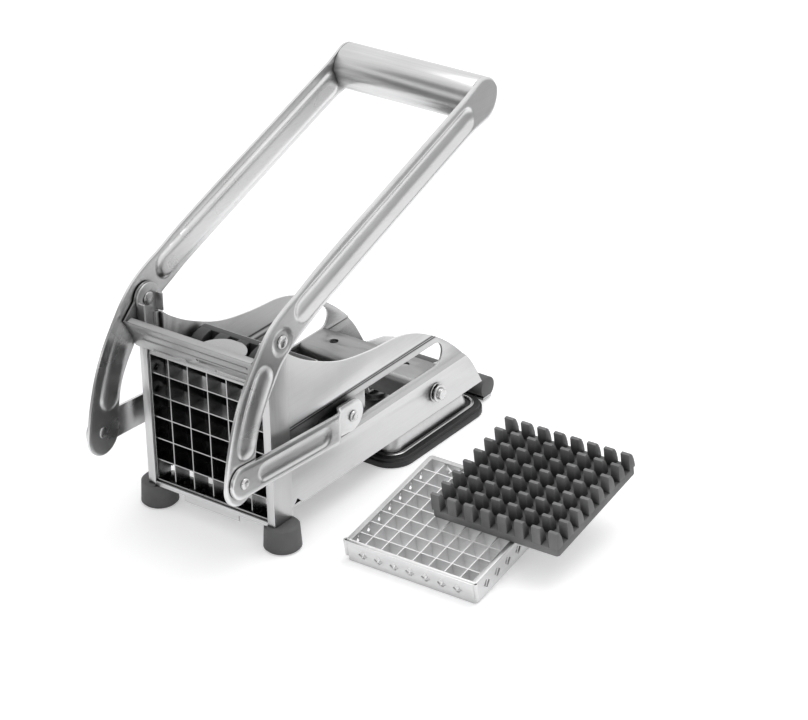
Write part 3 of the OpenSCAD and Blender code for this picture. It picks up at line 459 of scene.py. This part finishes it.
# %% Inside of the shell
WALL_INSIDE = 39.9 * MM   # half the room between the walls
shell = dressed["body_shell"].data
shell.materials.append(steel_in_shade)
inner = [face for face in shell.polygons if abs(face.center.x) < WALL_INSIDE]
for face in inner:
    face.material_index = 1
print("inside faces", len(inner), "of", len(shell.polygons))

# %% [markdown]
# The lever arms and the links are pressed sheet: a flat blank with a long shallow channel struck into it,
# and edges that roll back a little. A plain bevel can't show that, and sculpting would not be exact, so
# each is drawn as a fine net of points. The rows run along the piece between its two edges, and one rule
# tells how deep the press sinks the sheet at each place. First come the rows: a smooth curve through a
# few of them, and a half circle at each end.

# %% Rows of a pressed sheet
END_TURN = 86   # degrees: just short of the tip, so that the last row keeps some width


def through(controls, steps):
    """Smooth rows that pass through the given ones, with so many steps between each two of them."""
    rows = []
    last = len(controls) - 1
    for k in range(last):
        around = [controls[max(0, min(last, k + m))] for m in (-1, 0, 1, 2)]
        for j in range(steps):
            t = j / steps
            rows.append([0.5 * (2 * b + (c - a) * t + (2 * a - 5 * b + 4 * c - d) * t * t
                                + (3 * b - a - 3 * c + d) * t ** 3) for a, b, c, d in zip(*around)])
    rows.append(list(controls[last]))
    return rows


def round_end(centre, along, reach, count, closing):
    """Rows that end a sheet with a half circle. along points out of the sheet."""
    side = 1 if closing else -1
    rows = []
    for k in range(1, count + 1):
        turn = math.radians(END_TURN * k / count)
        out, half = reach * math.sin(turn), side * reach * math.cos(turn)
        y, z = centre[0] + along[0] * out, centre[1] + along[1] * out
        rows.append([y - along[1] * half, z + along[0] * half, y + along[1] * half, z - along[0] * half])
    return rows if closing else rows[::-1]


print("a half circle ends at", END_TURN, "degrees")

# %% [markdown]
# A channel could be cut with a sharp border, but a press leaves a soft lip. So the depth doesn't stop at
# once where the channel does: a square root keeps the slope smooth there.

# %% Depth of a channel
LIP = 0.10   # how soft the channel's lip is, mm


def sunk(distance, half, depth, power=3):
    """Depth of a pressed channel at a distance from its middle line. A high power gives it a flat bottom."""
    level = depth * (1 - (distance / half) ** power)
    return 0.5 * (level + math.sqrt(level * level + LIP * LIP)) if distance < 2 * half else 0.0


print("depth at the lip of a 1 mm channel", round(sunk(1, 1, 1), 3), "mm")

# %% [markdown]
# Each row of the net crosses the sheet from edge to edge, on both faces. Its columns stand closer together
# towards the edges, where the sheet rolls back. The two nets are closed with a rim, and the rim's edges are
# bevelled like those of the other pieces.

# %% Net of a pressed sheet
ACROSS = 44                        # columns of the net
ROLL_DEEP, ROLL_WIDE = 0.45, 2.6   # how far the outer edges roll back, and over what width, mm
ROLL_REAR = 0.4                    # share of that roll on the inner face
RIM_BEVEL, RIM_FROM = 0.25, 45     # width in mm, and the least angle in degrees


def net_points(work, rows, face, thick, press, side, lift):
    """The points of the outer and the inner face, row by row."""
    nets = ([], [])
    for outer_y, outer_z, inner_y, inner_z in rows:
        half = math.hypot(outer_y - inner_y, outer_z - inner_z) / 2
        for net in nets:
            net.append([])
        for k in range(ACROSS + 1):
            t = math.sin(math.pi / 2 * (2 * k / ACROSS - 1))
            y = (outer_y * (1 + t) + inner_y * (1 - t)) / 2
            z = (outer_z * (1 + t) + inner_z * (1 - t)) / 2
            roll = ROLL_DEEP * max(0.0, 1 - (1 - abs(t)) * half / ROLL_WIDE) ** 2
            front, rear = press(y, z)
            base = face + lift(y, z)
            for net, x in zip(nets, (base - front - roll, base - thick - rear + ROLL_REAR * roll)):
                net[-1].append(work.verts.new((side * x * MM, y * MM, z * MM)))
    return nets


def pressed_sheet(name, rows, face, thick, press, side, lift=lambda y, z: 0.0):
    """A closed sheet. A row is y, z of its outer and y, z of its inner edge in mm. press gives the depth."""
    work = bmesh.new()
    outer, inner = net_points(work, rows, face, thick, press, side, lift)
    last = len(rows) - 1
    for i in range(last):
        for k in range(ACROSS):
            for net in (outer, inner):
                work.faces.new((net[i][k], net[i][k + 1], net[i + 1][k + 1], net[i + 1][k]))
        for k in (0, ACROSS):
            work.faces.new((outer[i][k], outer[i + 1][k], inner[i + 1][k], inner[i][k]))
    for i in (0, last):
        for k in range(ACROSS):
            work.faces.new((outer[i][k], outer[i][k + 1], inner[i][k + 1], inner[i][k]))
    bmesh.ops.recalc_face_normals(work, faces=work.faces)
    mesh = bpy.data.meshes.new(name)
    work.to_mesh(mesh)
    work.free()
    return bevelled(placed(name, mesh), RIM_BEVEL, RIM_FROM)


print("net of", ACROSS, "columns")

# %% [markdown]
# An arm is a curved lower part about a far centre, a bend over the pivot, and a straight upper part that
# ends in a disc as wide as the handle tube. The photographed arm is slimmer and smoother than the CAD
# one, and lies inside it. All places here are millimetres from the main pivot, rearwards and up.

# %% Outline of a lever arm
PIVOT = (-134.5, 117.7)   # the main pivot in the frame
RISE = math.radians(18.7)
ARC_MIDDLE = (82.2, -82.3)


def on_arc(radius, degrees):
    """A place on the lower arm, given about its far centre."""
    turn = math.radians(degrees)
    return [ARC_MIDDLE[0] + radius * math.cos(turn), ARC_MIDDLE[1] + radius * math.sin(turn)]


def on_arm(run, off):
    """A place given along the upper arm and across it."""
    return [run * math.cos(RISE) - off * math.sin(RISE), run * math.sin(RISE) + off * math.cos(RISE)]


LOWER_ARM = [(170.9, 131.4, 109.2), (168, 131.5, 109.2), (164, 131.6, 110.2), (160, 131.7, 111.0),
             (156, 131.8, 111.0), (152, 131.7, 110.2), (148.5, 131.2, 109.2)]   # degrees, and both radii
BEND = [[-24.1, -6.5, -6.5, -19.5], [-15.8, 3.3, -0.9, -12.8], [-6.7, 11.0, 6.0, -7.6],
        [4.0, 16.5, 14.0, -3.0], [14.0, 20.3, 23.0, 1.0]]   # outer and inner edge
UPPER_ARM = [(36, 16.1, -5.2), (60, 17.1, -4.6), (90, 17.8, -4.0), (120, 18.4, -3.4), (150, 19.0, -2.8),
             (170, 19.3, -2.6), (178, 19.9, -3.3), (185.3, 20.8, -4.2)]   # along, and both edges across
HANDLE_RUN, HANDLE_OFF, HANDLE_R = 185.3, 8.3, 12.5
ARM_STEPS, LOWER_END_ROWS, HANDLE_ROWS = 12, 14, 16

controls = ([on_arc(outer, turn) + on_arc(inner, turn) for turn, outer, inner in LOWER_ARM] + BEND
            + [on_arm(run, high) + on_arm(run, low) for run, high, low in UPPER_ARM])
end_turn, end_outer, end_inner = LOWER_ARM[0]
end_along = (-math.sin(math.radians(end_turn)), math.cos(math.radians(end_turn)))
end_middle, end_reach = (end_outer + end_inner) / 2, (end_outer - end_inner) / 2
lower_end = round_end(on_arc(end_middle, end_turn), end_along, end_reach, LOWER_END_ROWS, False)
handle_end = round_end(on_arm(HANDLE_RUN, HANDLE_OFF), on_arm(1, 0), HANDLE_R, HANDLE_ROWS, True)
arm_rows = [[outer_y + PIVOT[0], outer_z + PIVOT[1], inner_y + PIVOT[0], inner_z + PIVOT[1]]
            for outer_y, outer_z, inner_y, inner_z in lower_end + through(controls, ARM_STEPS) + handle_end]
print("rows along an arm", len(arm_rows))

# %% [markdown]
# Two channels are pressed into each arm, one along the upper part and one along the arc below the pivot,
# and a shallow dish lies round the pivot. The inner face bulges where the outer is sunk, but flatter.

# %% Lever arms
UPPER_FROM, UPPER_TO, UPPER_HALF, UPPER_DEPTH = 21.0, 168.0, 7.4, 2.1
UPPER_OFF, UPPER_SLOPE, UPPER_OFF_AT = 5.9, 0.02, 80   # the channel's middle line drifts across the arm
BULGE, BULGE_POWER = 0.8, 7                            # its share on the inner face, and how flat that is
RING_R, RING_FROM, RING_TO = 119.0, 145.2, 161.3
RING_HALF, RING_DEPTH, RING_BULGE = 7.5, 1.5, 0.7
DISH_R, DISH_LIP, DISH_SLOPE, DISH_DEEP = 6.6, 0.8, 1.2, 0.4
ARM_FACE, ARM_THICK = 45.8, 2.0


def arm_press(y, z):
    """Depth on the outer and the inner face of an arm."""
    y, z = y - PIVOT[0], z - PIVOT[1]
    run = y * math.cos(RISE) + z * math.sin(RISE)
    off = z * math.cos(RISE) - y * math.sin(RISE)
    near = min(max(run, UPPER_FROM), UPPER_TO)
    away = math.hypot(run - near, off - UPPER_OFF - UPPER_SLOPE * (near - UPPER_OFF_AT))
    upper = sunk(away, UPPER_HALF, UPPER_DEPTH)
    bulge = sunk(away, UPPER_HALF, BULGE * UPPER_DEPTH, BULGE_POWER)
    turn = math.degrees(math.atan2(z - ARC_MIDDLE[1], y - ARC_MIDDLE[0]))
    ring_y, ring_z = on_arc(RING_R, min(max(turn, RING_FROM), RING_TO))
    ring = sunk(math.hypot(y - ring_y, z - ring_z), RING_HALF, RING_DEPTH)
    dish = DISH_DEEP * min(1.0, max(0.0, (DISH_R + DISH_LIP - math.hypot(y, z)) / DISH_SLOPE))
    return upper + ring + dish, bulge + RING_BULGE * ring


for node, side in (("right_lever_arm", 1), ("left_lever_arm", -1)):
    arm = pressed_sheet(node + "_pressed", arm_rows, ARM_FACE, ARM_THICK, arm_press, side)
    stand_for(arm, node, steel_lever)
    print(arm.name, len(arm.data.polygons), "faces")

# %% [markdown]
# A link lies flat against the arm at its front pin. It is stepped inwards near its rear eye, where it
# meets the wall, so one more rule moves the sheet sideways there.

# %% Links
FRONT_PIN = (-171.5, 56.3)   # in the frame
LINK_LONG, LINK_TILT = 93.69, math.radians(-3.67)
LINK_FACE, LINK_THICK, LINK_STEP = 48.3, 2.2, 4.7
STEP_FROM, STEP_TO = 77.0, 83.0
PRESS_FROM, PRESS_TO, PRESS_HALF, PRESS_DEPTH = 16.6, 64.0, 5.4, 1.2
FRONT_R, REAR_R = 8.6, 9.0
LINK_STEPS, LINK_END_ROWS = 16, 12
LINK_HALVES = [(0, FRONT_R), (8, 8.5), (26, 8.2), (50, 8.2), (72, 8.2), (88, 8.6),
               (LINK_LONG, REAR_R)]   # along, and half its width


def on_link(run, off):
    """A place given along the link and across it."""
    return [FRONT_PIN[0] + run * math.cos(LINK_TILT) - off * math.sin(LINK_TILT),
            FRONT_PIN[1] + run * math.sin(LINK_TILT) + off * math.cos(LINK_TILT)]


def link_place(y, z):
    """How far a place lies along the link and across it."""
    y, z = y - FRONT_PIN[0], z - FRONT_PIN[1]
    return (y * math.cos(LINK_TILT) + z * math.sin(LINK_TILT),
            z * math.cos(LINK_TILT) - y * math.sin(LINK_TILT))


def link_press(y, z):
    """Depth on the outer face of a link. Its inner face stays flat."""
    run, off = link_place(y, z)
    near = min(max(run, PRESS_FROM), PRESS_TO)
    return sunk(math.hypot(run - near, off), PRESS_HALF, PRESS_DEPTH), 0.0


def link_lift(y, z):
    """The step near the rear eye, as a smooth move towards the wall."""
    t = min(1.0, max(0.0, (link_place(y, z)[0] - STEP_FROM) / (STEP_TO - STEP_FROM)))
    return -LINK_STEP * t * t * (3 - 2 * t)


link_along = (math.cos(LINK_TILT), math.sin(LINK_TILT))
link_back = (-link_along[0], -link_along[1])
link_rows = (round_end(on_link(0, 0), link_back, FRONT_R, LINK_END_ROWS, False)
             + through([on_link(run, half) + on_link(run, -half) for run, half in LINK_HALVES], LINK_STEPS)
             + round_end(on_link(LINK_LONG, 0), link_along, REAR_R, LINK_END_ROWS, True))
for node, side in (("right_link", 1), ("left_link", -1)):
    link = pressed_sheet(node + "_pressed", link_rows, LINK_FACE, LINK_THICK, link_press, side,
                         link_lift)
    stand_for(link, node, steel_lever)
    print(link.name, len(link.data.polygons), "faces")

# %% [markdown]
# A pusher block is a plate with rows of wedge pegs. Each peg has an upright face and a curved back, and
# its edges are softened by the mould. The rows are what repeats, so Geometry Nodes set one peg on every
# place of a square grid and join the plate underneath. Count and step are inputs of the tree, since the
# spare block has smaller pegs.

# %% Peg tree
def peg_tree():
    """The tree: a grid of points, one peg on each, the plate joined, all real mesh with one material."""
    tree = bpy.data.node_groups.new("peg_rows", "GeometryNodeTree")
    face = tree.interface
    face.new_socket(name="Peg", in_out="INPUT", socket_type="NodeSocketGeometry")
    sockets = {}
    for label, kind in (("Count", "Int"), ("Step", "Float"), ("Plate", "Object"), ("Finish", "Material")):
        socket = face.new_socket(name=label, in_out="INPUT", socket_type="NodeSocket" + kind)
        sockets[label] = socket.identifier
    face.new_socket(name="Geometry", in_out="OUTPUT", socket_type="NodeSocketGeometry")
    start, end = tree.nodes.new("NodeGroupInput"), tree.nodes.new("NodeGroupOutput")
    gaps = worked_out(tree, "SUBTRACT", start.outputs["Count"], 1)
    reach = worked_out(tree, "MULTIPLY", gaps, start.outputs["Step"])
    grid, spread, plate, join, real, paint = (tree.nodes.new("GeometryNode" + kind) for kind in (
        "MeshGrid", "InstanceOnPoints", "ObjectInfo", "JoinGeometry", "RealizeInstances", "SetMaterial"))
    links = [(start, "Peg", spread, "Instance"), (start, "Plate", plate, "Object"),
             (grid, "Mesh", spread, "Points"), (spread, "Instances", join, "Geometry"),
             (plate, "Geometry", join, "Geometry"), (join, "Geometry", real, "Geometry"),
             (real, "Geometry", paint, "Geometry"), (start, "Finish", paint, "Material"),
             (paint, "Geometry", end, "Geometry")]
    for axis in ("X", "Y"):
        tree.links.new(reach, grid.inputs["Size " + axis])
        links.append((start, "Count", grid, "Vertices " + axis))
    for source, given, target, taken in links:
        tree.links.new(source.outputs[given], target.inputs[taken])
    return tree, sockets


pegs_tree, peg_sockets = peg_tree()
print("peg tree inputs", peg_sockets)

# %% [markdown]
# The tree needs one peg and one plate. Both are an outline drawn out to a thickness, so one function
# makes them. A peg's outline is its side view, in shares of its foot and height.

# %% Prisms
SHARP = math.radians(35)        # edges sharper than this are softened
SHADE_FROM = math.radians(42)   # and edges still sharper than this stay crisp in the light
CORNER_STEP = 15


def prism(outline, low, high, place, soft):
    """A closed prism over an outline in mm, with softened edges. place orders a corner's numbers."""
    work = bmesh.new()
    ends = [[work.verts.new(Vector(place(a, b, c)) * MM) for a, b in outline] for c in (low, high)]
    for end in ends:
        work.faces.new(end)
    for k in range(len(outline)):
        m = (k + 1) % len(outline)
        work.faces.new((ends[0][k], ends[0][m], ends[1][m], ends[1][k]))
    bmesh.ops.recalc_face_normals(work, faces=work.faces)
    edges = [edge for edge in work.edges if edge.calc_face_angle() > SHARP]
    bmesh.ops.bevel(work, geom=edges, offset=soft * MM, segments=BEVEL_STEPS, profile=0.5, affect="EDGES",
                    clamp_overlap=True)
    mesh = bpy.data.meshes.new("prism")
    work.to_mesh(mesh)
    work.free()
    mesh.shade_smooth()
    mesh.set_sharp_from_angle(angle=SHADE_FROM)
    return mesh


def rounded(half, low, high, corner):
    """A rectangle with round corners, from -half to half and from low to high."""
    middle, reach = (low + high) / 2, (high - low) / 2
    return [(sx * (half - corner) + corner * math.cos(math.radians(turn)),
             middle + sy * (reach - corner) + corner * math.sin(math.radians(turn)))
            for sx, sy, start in ((1, 1, 0), (-1, 1, 90), (-1, -1, 180), (1, -1, 270))
            for turn in range(start, start + 91, CORNER_STEP)]


print("corners of a plate", len(rounded(1, 0, 1, 0.1)), "points")

# %% [markdown]
# Both pusher blocks are one mould in two sizes, so one function makes them. It draws the block with its
# pegs pointing up, and a matrix then lays the mesh where the CAD has it. The object stays at the origin,
# as a CAD node does, so that it moves with its body.

# %% Pusher block
PEG_HIGH, PEG_SINK, PEG_SOFT = 9.8, 0.2, 0.3
PEG_SHARES = [(0, 0), (1, 0), (0.96, 0.28), (0.84, 0.6), (0.66, 0.85), (0.42, 1), (0.06, 1)]
WIDE_SHARE, FOOT_SHARE = 0.54, 0.57   # a peg's width and foot, as shares of the grid's pitch
BLOCK_HALF, PLATE_THICK, PLATE_CORNER, PLATE_SOFT = 37.4, 4.4, 2.0, 0.4


def shift(x, y, z):
    """A move in millimetres."""
    return Matrix.Translation((x * MM, y * MM, z * MM))


def spin(degrees, axis):
    """A turn about an axis."""
    return Matrix.Rotation(math.radians(degrees), 4, axis)


def corners(obj):
    """The lowest and the highest corner of an object, in mm."""
    return [[round(part / MM, 1) for part in obj.bound_box[k]] for k in (0, 6)]


def peg_block(node, material, pitch, count, step, low, high, first, place):
    """A block on a plate from low to high, its first row of pegs at first. place is its matrix."""
    wide, foot = WIDE_SHARE * pitch, FOOT_SHARE * pitch
    side_view = [(x * foot, z * (PEG_HIGH + PEG_SINK) - PEG_SINK) for x, z in PEG_SHARES]
    middle = first + (count - 1) * step / 2
    peg = prism(side_view, -wide / 2, wide / 2, lambda a, b, c: (c, a, b), PEG_SOFT)
    outline = rounded(BLOCK_HALF, low - middle, high - middle, PLATE_CORNER)
    base = prism(outline, -PLATE_THICK, 0, lambda a, b, c: (a, b, c), PLATE_SOFT)
    plate = placed(node + "_plate", base)
    block = placed(node + "_pegs", peg)
    rows = block.modifiers.new("pegs", "NODES")
    rows.node_group = pegs_tree
    for label, value in (("Count", count), ("Step", step * MM), ("Plate", plate), ("Finish", material)):
        rows[peg_sockets[label]] = value
    settle(block)
    block.data.transform(place @ shift(0, middle, 0))
    bpy.data.objects.remove(plate)
    stand_for(block, node, material)
    print(block.name, len(block.data.polygons), "faces", corners(block), "CAD", corners(nodes[node]))


# %% [markdown]
# The fitted block stands upright at the front of the carriage. Its pegs drive the potato through the
# grid, so they have the grid's own pitch. It is deep in the chamber, so its plastic is a darker copy of
# the spare block's: painted shade.

# %% Fitted block
PITCH, CELLS = 12.7, 6
CELL_LOW, BLOCK_LOW = 15.6, 18.9   # undersides of the lowest cell and of the plate
TOP_ROOM = 2.5                     # from the plate's top edge to the top of the cells
BLOCK_FRONT = -97.5                # where the plate lies on the carriage
PEG_LIFT = 0.5                     # so that the lowest row clears the body's floor
block_high = CELL_LOW + PITCH * CELLS - TOP_ROOM
first_peg = CELL_LOW + (1 - FOOT_SHARE) * PITCH / 2 + PEG_LIFT
peg_block("pusher_block", plastic_in_shade, PITCH, CELLS, PITCH, BLOCK_LOW, block_high, first_peg,
          shift(0, BLOCK_FRONT - PLATE_THICK, 0) @ spin(90, "X"))

# %% [markdown]
# The spare block lies on the spare grid, which rests tilted on its own finger tab. Its place is worked
# out in the same steps: first how the grid lies, then how the block lies on it.

# %% Spare block
SPARE_CELLS = 8
SPARE_PITCH = PITCH * CELLS / SPARE_CELLS
SPARE_SPOT, SPARE_TURN, SPARE_TILT = (75.7, -127.2), 1.6, 9.508   # how the spare grid lies, mm and degrees
STACK_SPOT, STACK_TURN = (29.5, 36.2), 0.3                        # how the block lies on that grid
GRID_THICK, SEAT = 12.0, 0.1                                      # the grid, and the gap over it
grid_place = shift(*SPARE_SPOT, 0) @ spin(SPARE_TURN, "Z") @ spin(SPARE_TILT, "X")
on_grid = shift(*STACK_SPOT, GRID_THICK + SEAT) @ spin(STACK_TURN, "Z") @ shift(BLOCK_HALF, 0, PLATE_THICK)
spare_step = (2 * BLOCK_HALF - WIDE_SHARE * SPARE_PITCH) / (SPARE_CELLS - 1)
peg_block("spare_block", plastic_block, SPARE_PITCH, SPARE_CELLS, spare_step, 0, 2 * BLOCK_HALF, 0,
          grid_place @ on_grid)

# %% [markdown]
# The blades are only 0.6 mm thick and ground to an edge. A bevel would eat them, so they keep the CAD
# shape and only get a finish. The fitted grid's steel is a darker copy, painted shade, with more painted
# shade deep between the blades. The spare grid's is a paler copy, painted light, with hardly any shade.

# %% Blades
BLADES = [("grid_upright_blades", steel_blade_shaded), ("grid_level_blades", steel_blade_shaded),
          ("spare_upright_blades", steel_spare_lit), ("spare_level_blades", steel_spare_lit)]
for node, material in BLADES:
    blades = nodes[node].data
    blades.materials.clear()
    blades.materials.append(material)
print("blades", len(BLADES), "nodes")

# %% [markdown]
# The floor is plain and pale. More lamps would bleach the cutter before they made the floor white, so the
# floor is lifted by a little light of its own, which only camera, glossy and transmission rays see. The
# soft shadow stays.

# %% Floor
FLOOR_HALF, FLOOR_DROP = 12.0, -0.0002   # m. It lies a hair under the feet
FLOOR_LIFT = 0.37                        # strength of its own light
FLOOR_COLOUR, FLOOR_ROUGH, FLOOR_SHINE = (0.86, 0.86, 0.87, 1), 0.9, 0.1


def seen_rays(tree, light_path):
    """One for camera, glossy and transmission rays, so that metal shows what the camera sees."""
    seen = light_path.outputs["Is Camera Ray"]
    for name in ("Is Glossy Ray", "Is Transmission Ray"):
        seen = worked_out(tree, "MAXIMUM", seen, light_path.outputs[name])
    return seen


def plane(name, corners, material):
    """A flat four cornered piece of the set."""
    mesh = bpy.data.meshes.new(name)
    mesh.from_pydata(corners, [], [(0, 1, 2, 3)])
    mesh.materials.append(material)
    obj = placed(name, mesh)
    return obj


floor_paint, floor_tree, floor_shader = begin("pale_floor")
floor_shader.inputs["Base Color"].default_value = FLOOR_COLOUR
floor_shader.inputs["Roughness"].default_value = FLOOR_ROUGH
floor_shader.inputs["Specular IOR Level"].default_value = FLOOR_SHINE
floor_shader.inputs["Emission Color"].default_value = (1, 1, 1, 1)
floor_seen = seen_rays(floor_tree, floor_tree.nodes.new("ShaderNodeLightPath"))
floor_glow = worked_out(floor_tree, "MULTIPLY", floor_seen, FLOOR_LIFT)
floor_tree.links.new(floor_glow, floor_shader.inputs["Emission Strength"])
floor_corners = [(x * FLOOR_HALF, y * FLOOR_HALF, 0) for x, y in ((-1, -1), (1, -1), (1, 1), (-1, 1))]
floor = plane("floor", floor_corners, floor_paint)
floor.location.z = FLOOR_DROP
print("floor", 2 * FLOOR_HALF, "m wide")

# %% [markdown]
# The room is plain white. Matt surfaces get a little less light from it than the camera and the metal
# see, so that rubber and plastic keep their depth.

# %% Room
ROOM_LIGHT = 0.72   # what the room gives to matt surfaces
world = bpy.data.worlds.new("studio")
bpy.context.scene.world = world
world.use_nodes = True
sky = world.node_tree
sky.nodes.clear()
output = sky.nodes.new("ShaderNodeOutputWorld")
room = add(sky, "ShaderNodeBackground", Color=(1, 1, 1, 1), Strength=ROOM_LIGHT)
white = add(sky, "ShaderNodeBackground", Color=(1, 1, 1, 1), Strength=1.0)
choose = sky.nodes.new("ShaderNodeMixShader")
sky.links.new(seen_rays(sky, sky.nodes.new("ShaderNodeLightPath")), choose.inputs["Fac"])
sky.links.new(room.outputs["Background"], choose.inputs[1])
sky.links.new(white.outputs["Background"], choose.inputs[2])
sky.links.new(choose.outputs["Shader"], output.inputs["Surface"])
print("room light", ROOM_LIGHT)

# %% [markdown]
# One large soft lamp hangs over the rear right, so that the faint shadow falls to the front left. A weak
# one in front fills the dark sides. Both are big, because small lamps would make hard spots on the steel.

# %% Lamps
AIM = Vector((0.05, -0.05, 0.05))
LAMPS = [("overhead_softbox", (0.30, 0.40, 1.5), 1.2, 9),   # name, place and size in m, and watts
         ("front_fill", (0.9, -1.5, 0.9), 1.0, 2)]
for name, spot, size, power in LAMPS:
    lamp = bpy.data.lights.new(name, "AREA")
    lamp.shape = "SQUARE"
    lamp.size = size
    lamp.energy = power
    softbox = placed(name, lamp)
    softbox.location = spot
    softbox.rotation_euler = (AIM - Vector(spot)).to_track_quat("-Z", "Y").to_euler()
print("lamps", [lamp[0] for lamp in LAMPS])

# %% [markdown]
# White alone would leave polished metal without form, so dark cards stand round the set, as they do in a
# studio. Only reflections see them: they give the tube its two dark bands and the flat sheet its middle
# grey.

# %% Dark cards
CARD_LEFT, CARD_RIGHT, CARD_Y = -4, 2, -2.5   # m


def card(name, corners, grey):
    """A flat card with one grey, which only reflections see."""
    paint, tree, shader = begin(name)
    shader.inputs["Base Color"].default_value = (0, 0, 0, 1)
    shader.inputs["Roughness"].default_value = 1.0
    shader.inputs["Specular IOR Level"].default_value = 0.0
    shader.inputs["Emission Color"].default_value = (1, 1, 1, 1)
    shader.inputs["Emission Strength"].default_value = grey
    obj = plane(name, corners, paint)
    obj.visible_camera = obj.visible_diffuse = obj.visible_transmission = False
    obj.visible_volume_scatter = obj.visible_shadow = False
    return obj


def floor_card(name, x0, y0, x1, y1, grey):
    """A card that lies flat."""
    return card(name, [(x0, y0, 0), (x1, y0, 0), (x1, y1, 0), (x0, y1, 0)], grey)


def front_card(name, z0, z1, grey):
    """A card that stands upright in front."""
    return card(name, [(CARD_LEFT, CARD_Y, z0), (CARD_RIGHT, CARD_Y, z0), (CARD_RIGHT, CARD_Y, z1),
                       (CARD_LEFT, CARD_Y, z1)], grey)


cards = [floor_card("front_floor_card", CARD_LEFT, CARD_Y, CARD_RIGHT, -0.50, 0.20),
         floor_card("side_floor_card", 0.19, -0.10, 0.80, 1.0, 0.40),
         front_card("low_front_card", 0.0, 0.70, 0.20),
         front_card("high_front_card", 1.60, 4.0, 0.25)]
print("cards", [obj.name for obj in cards])
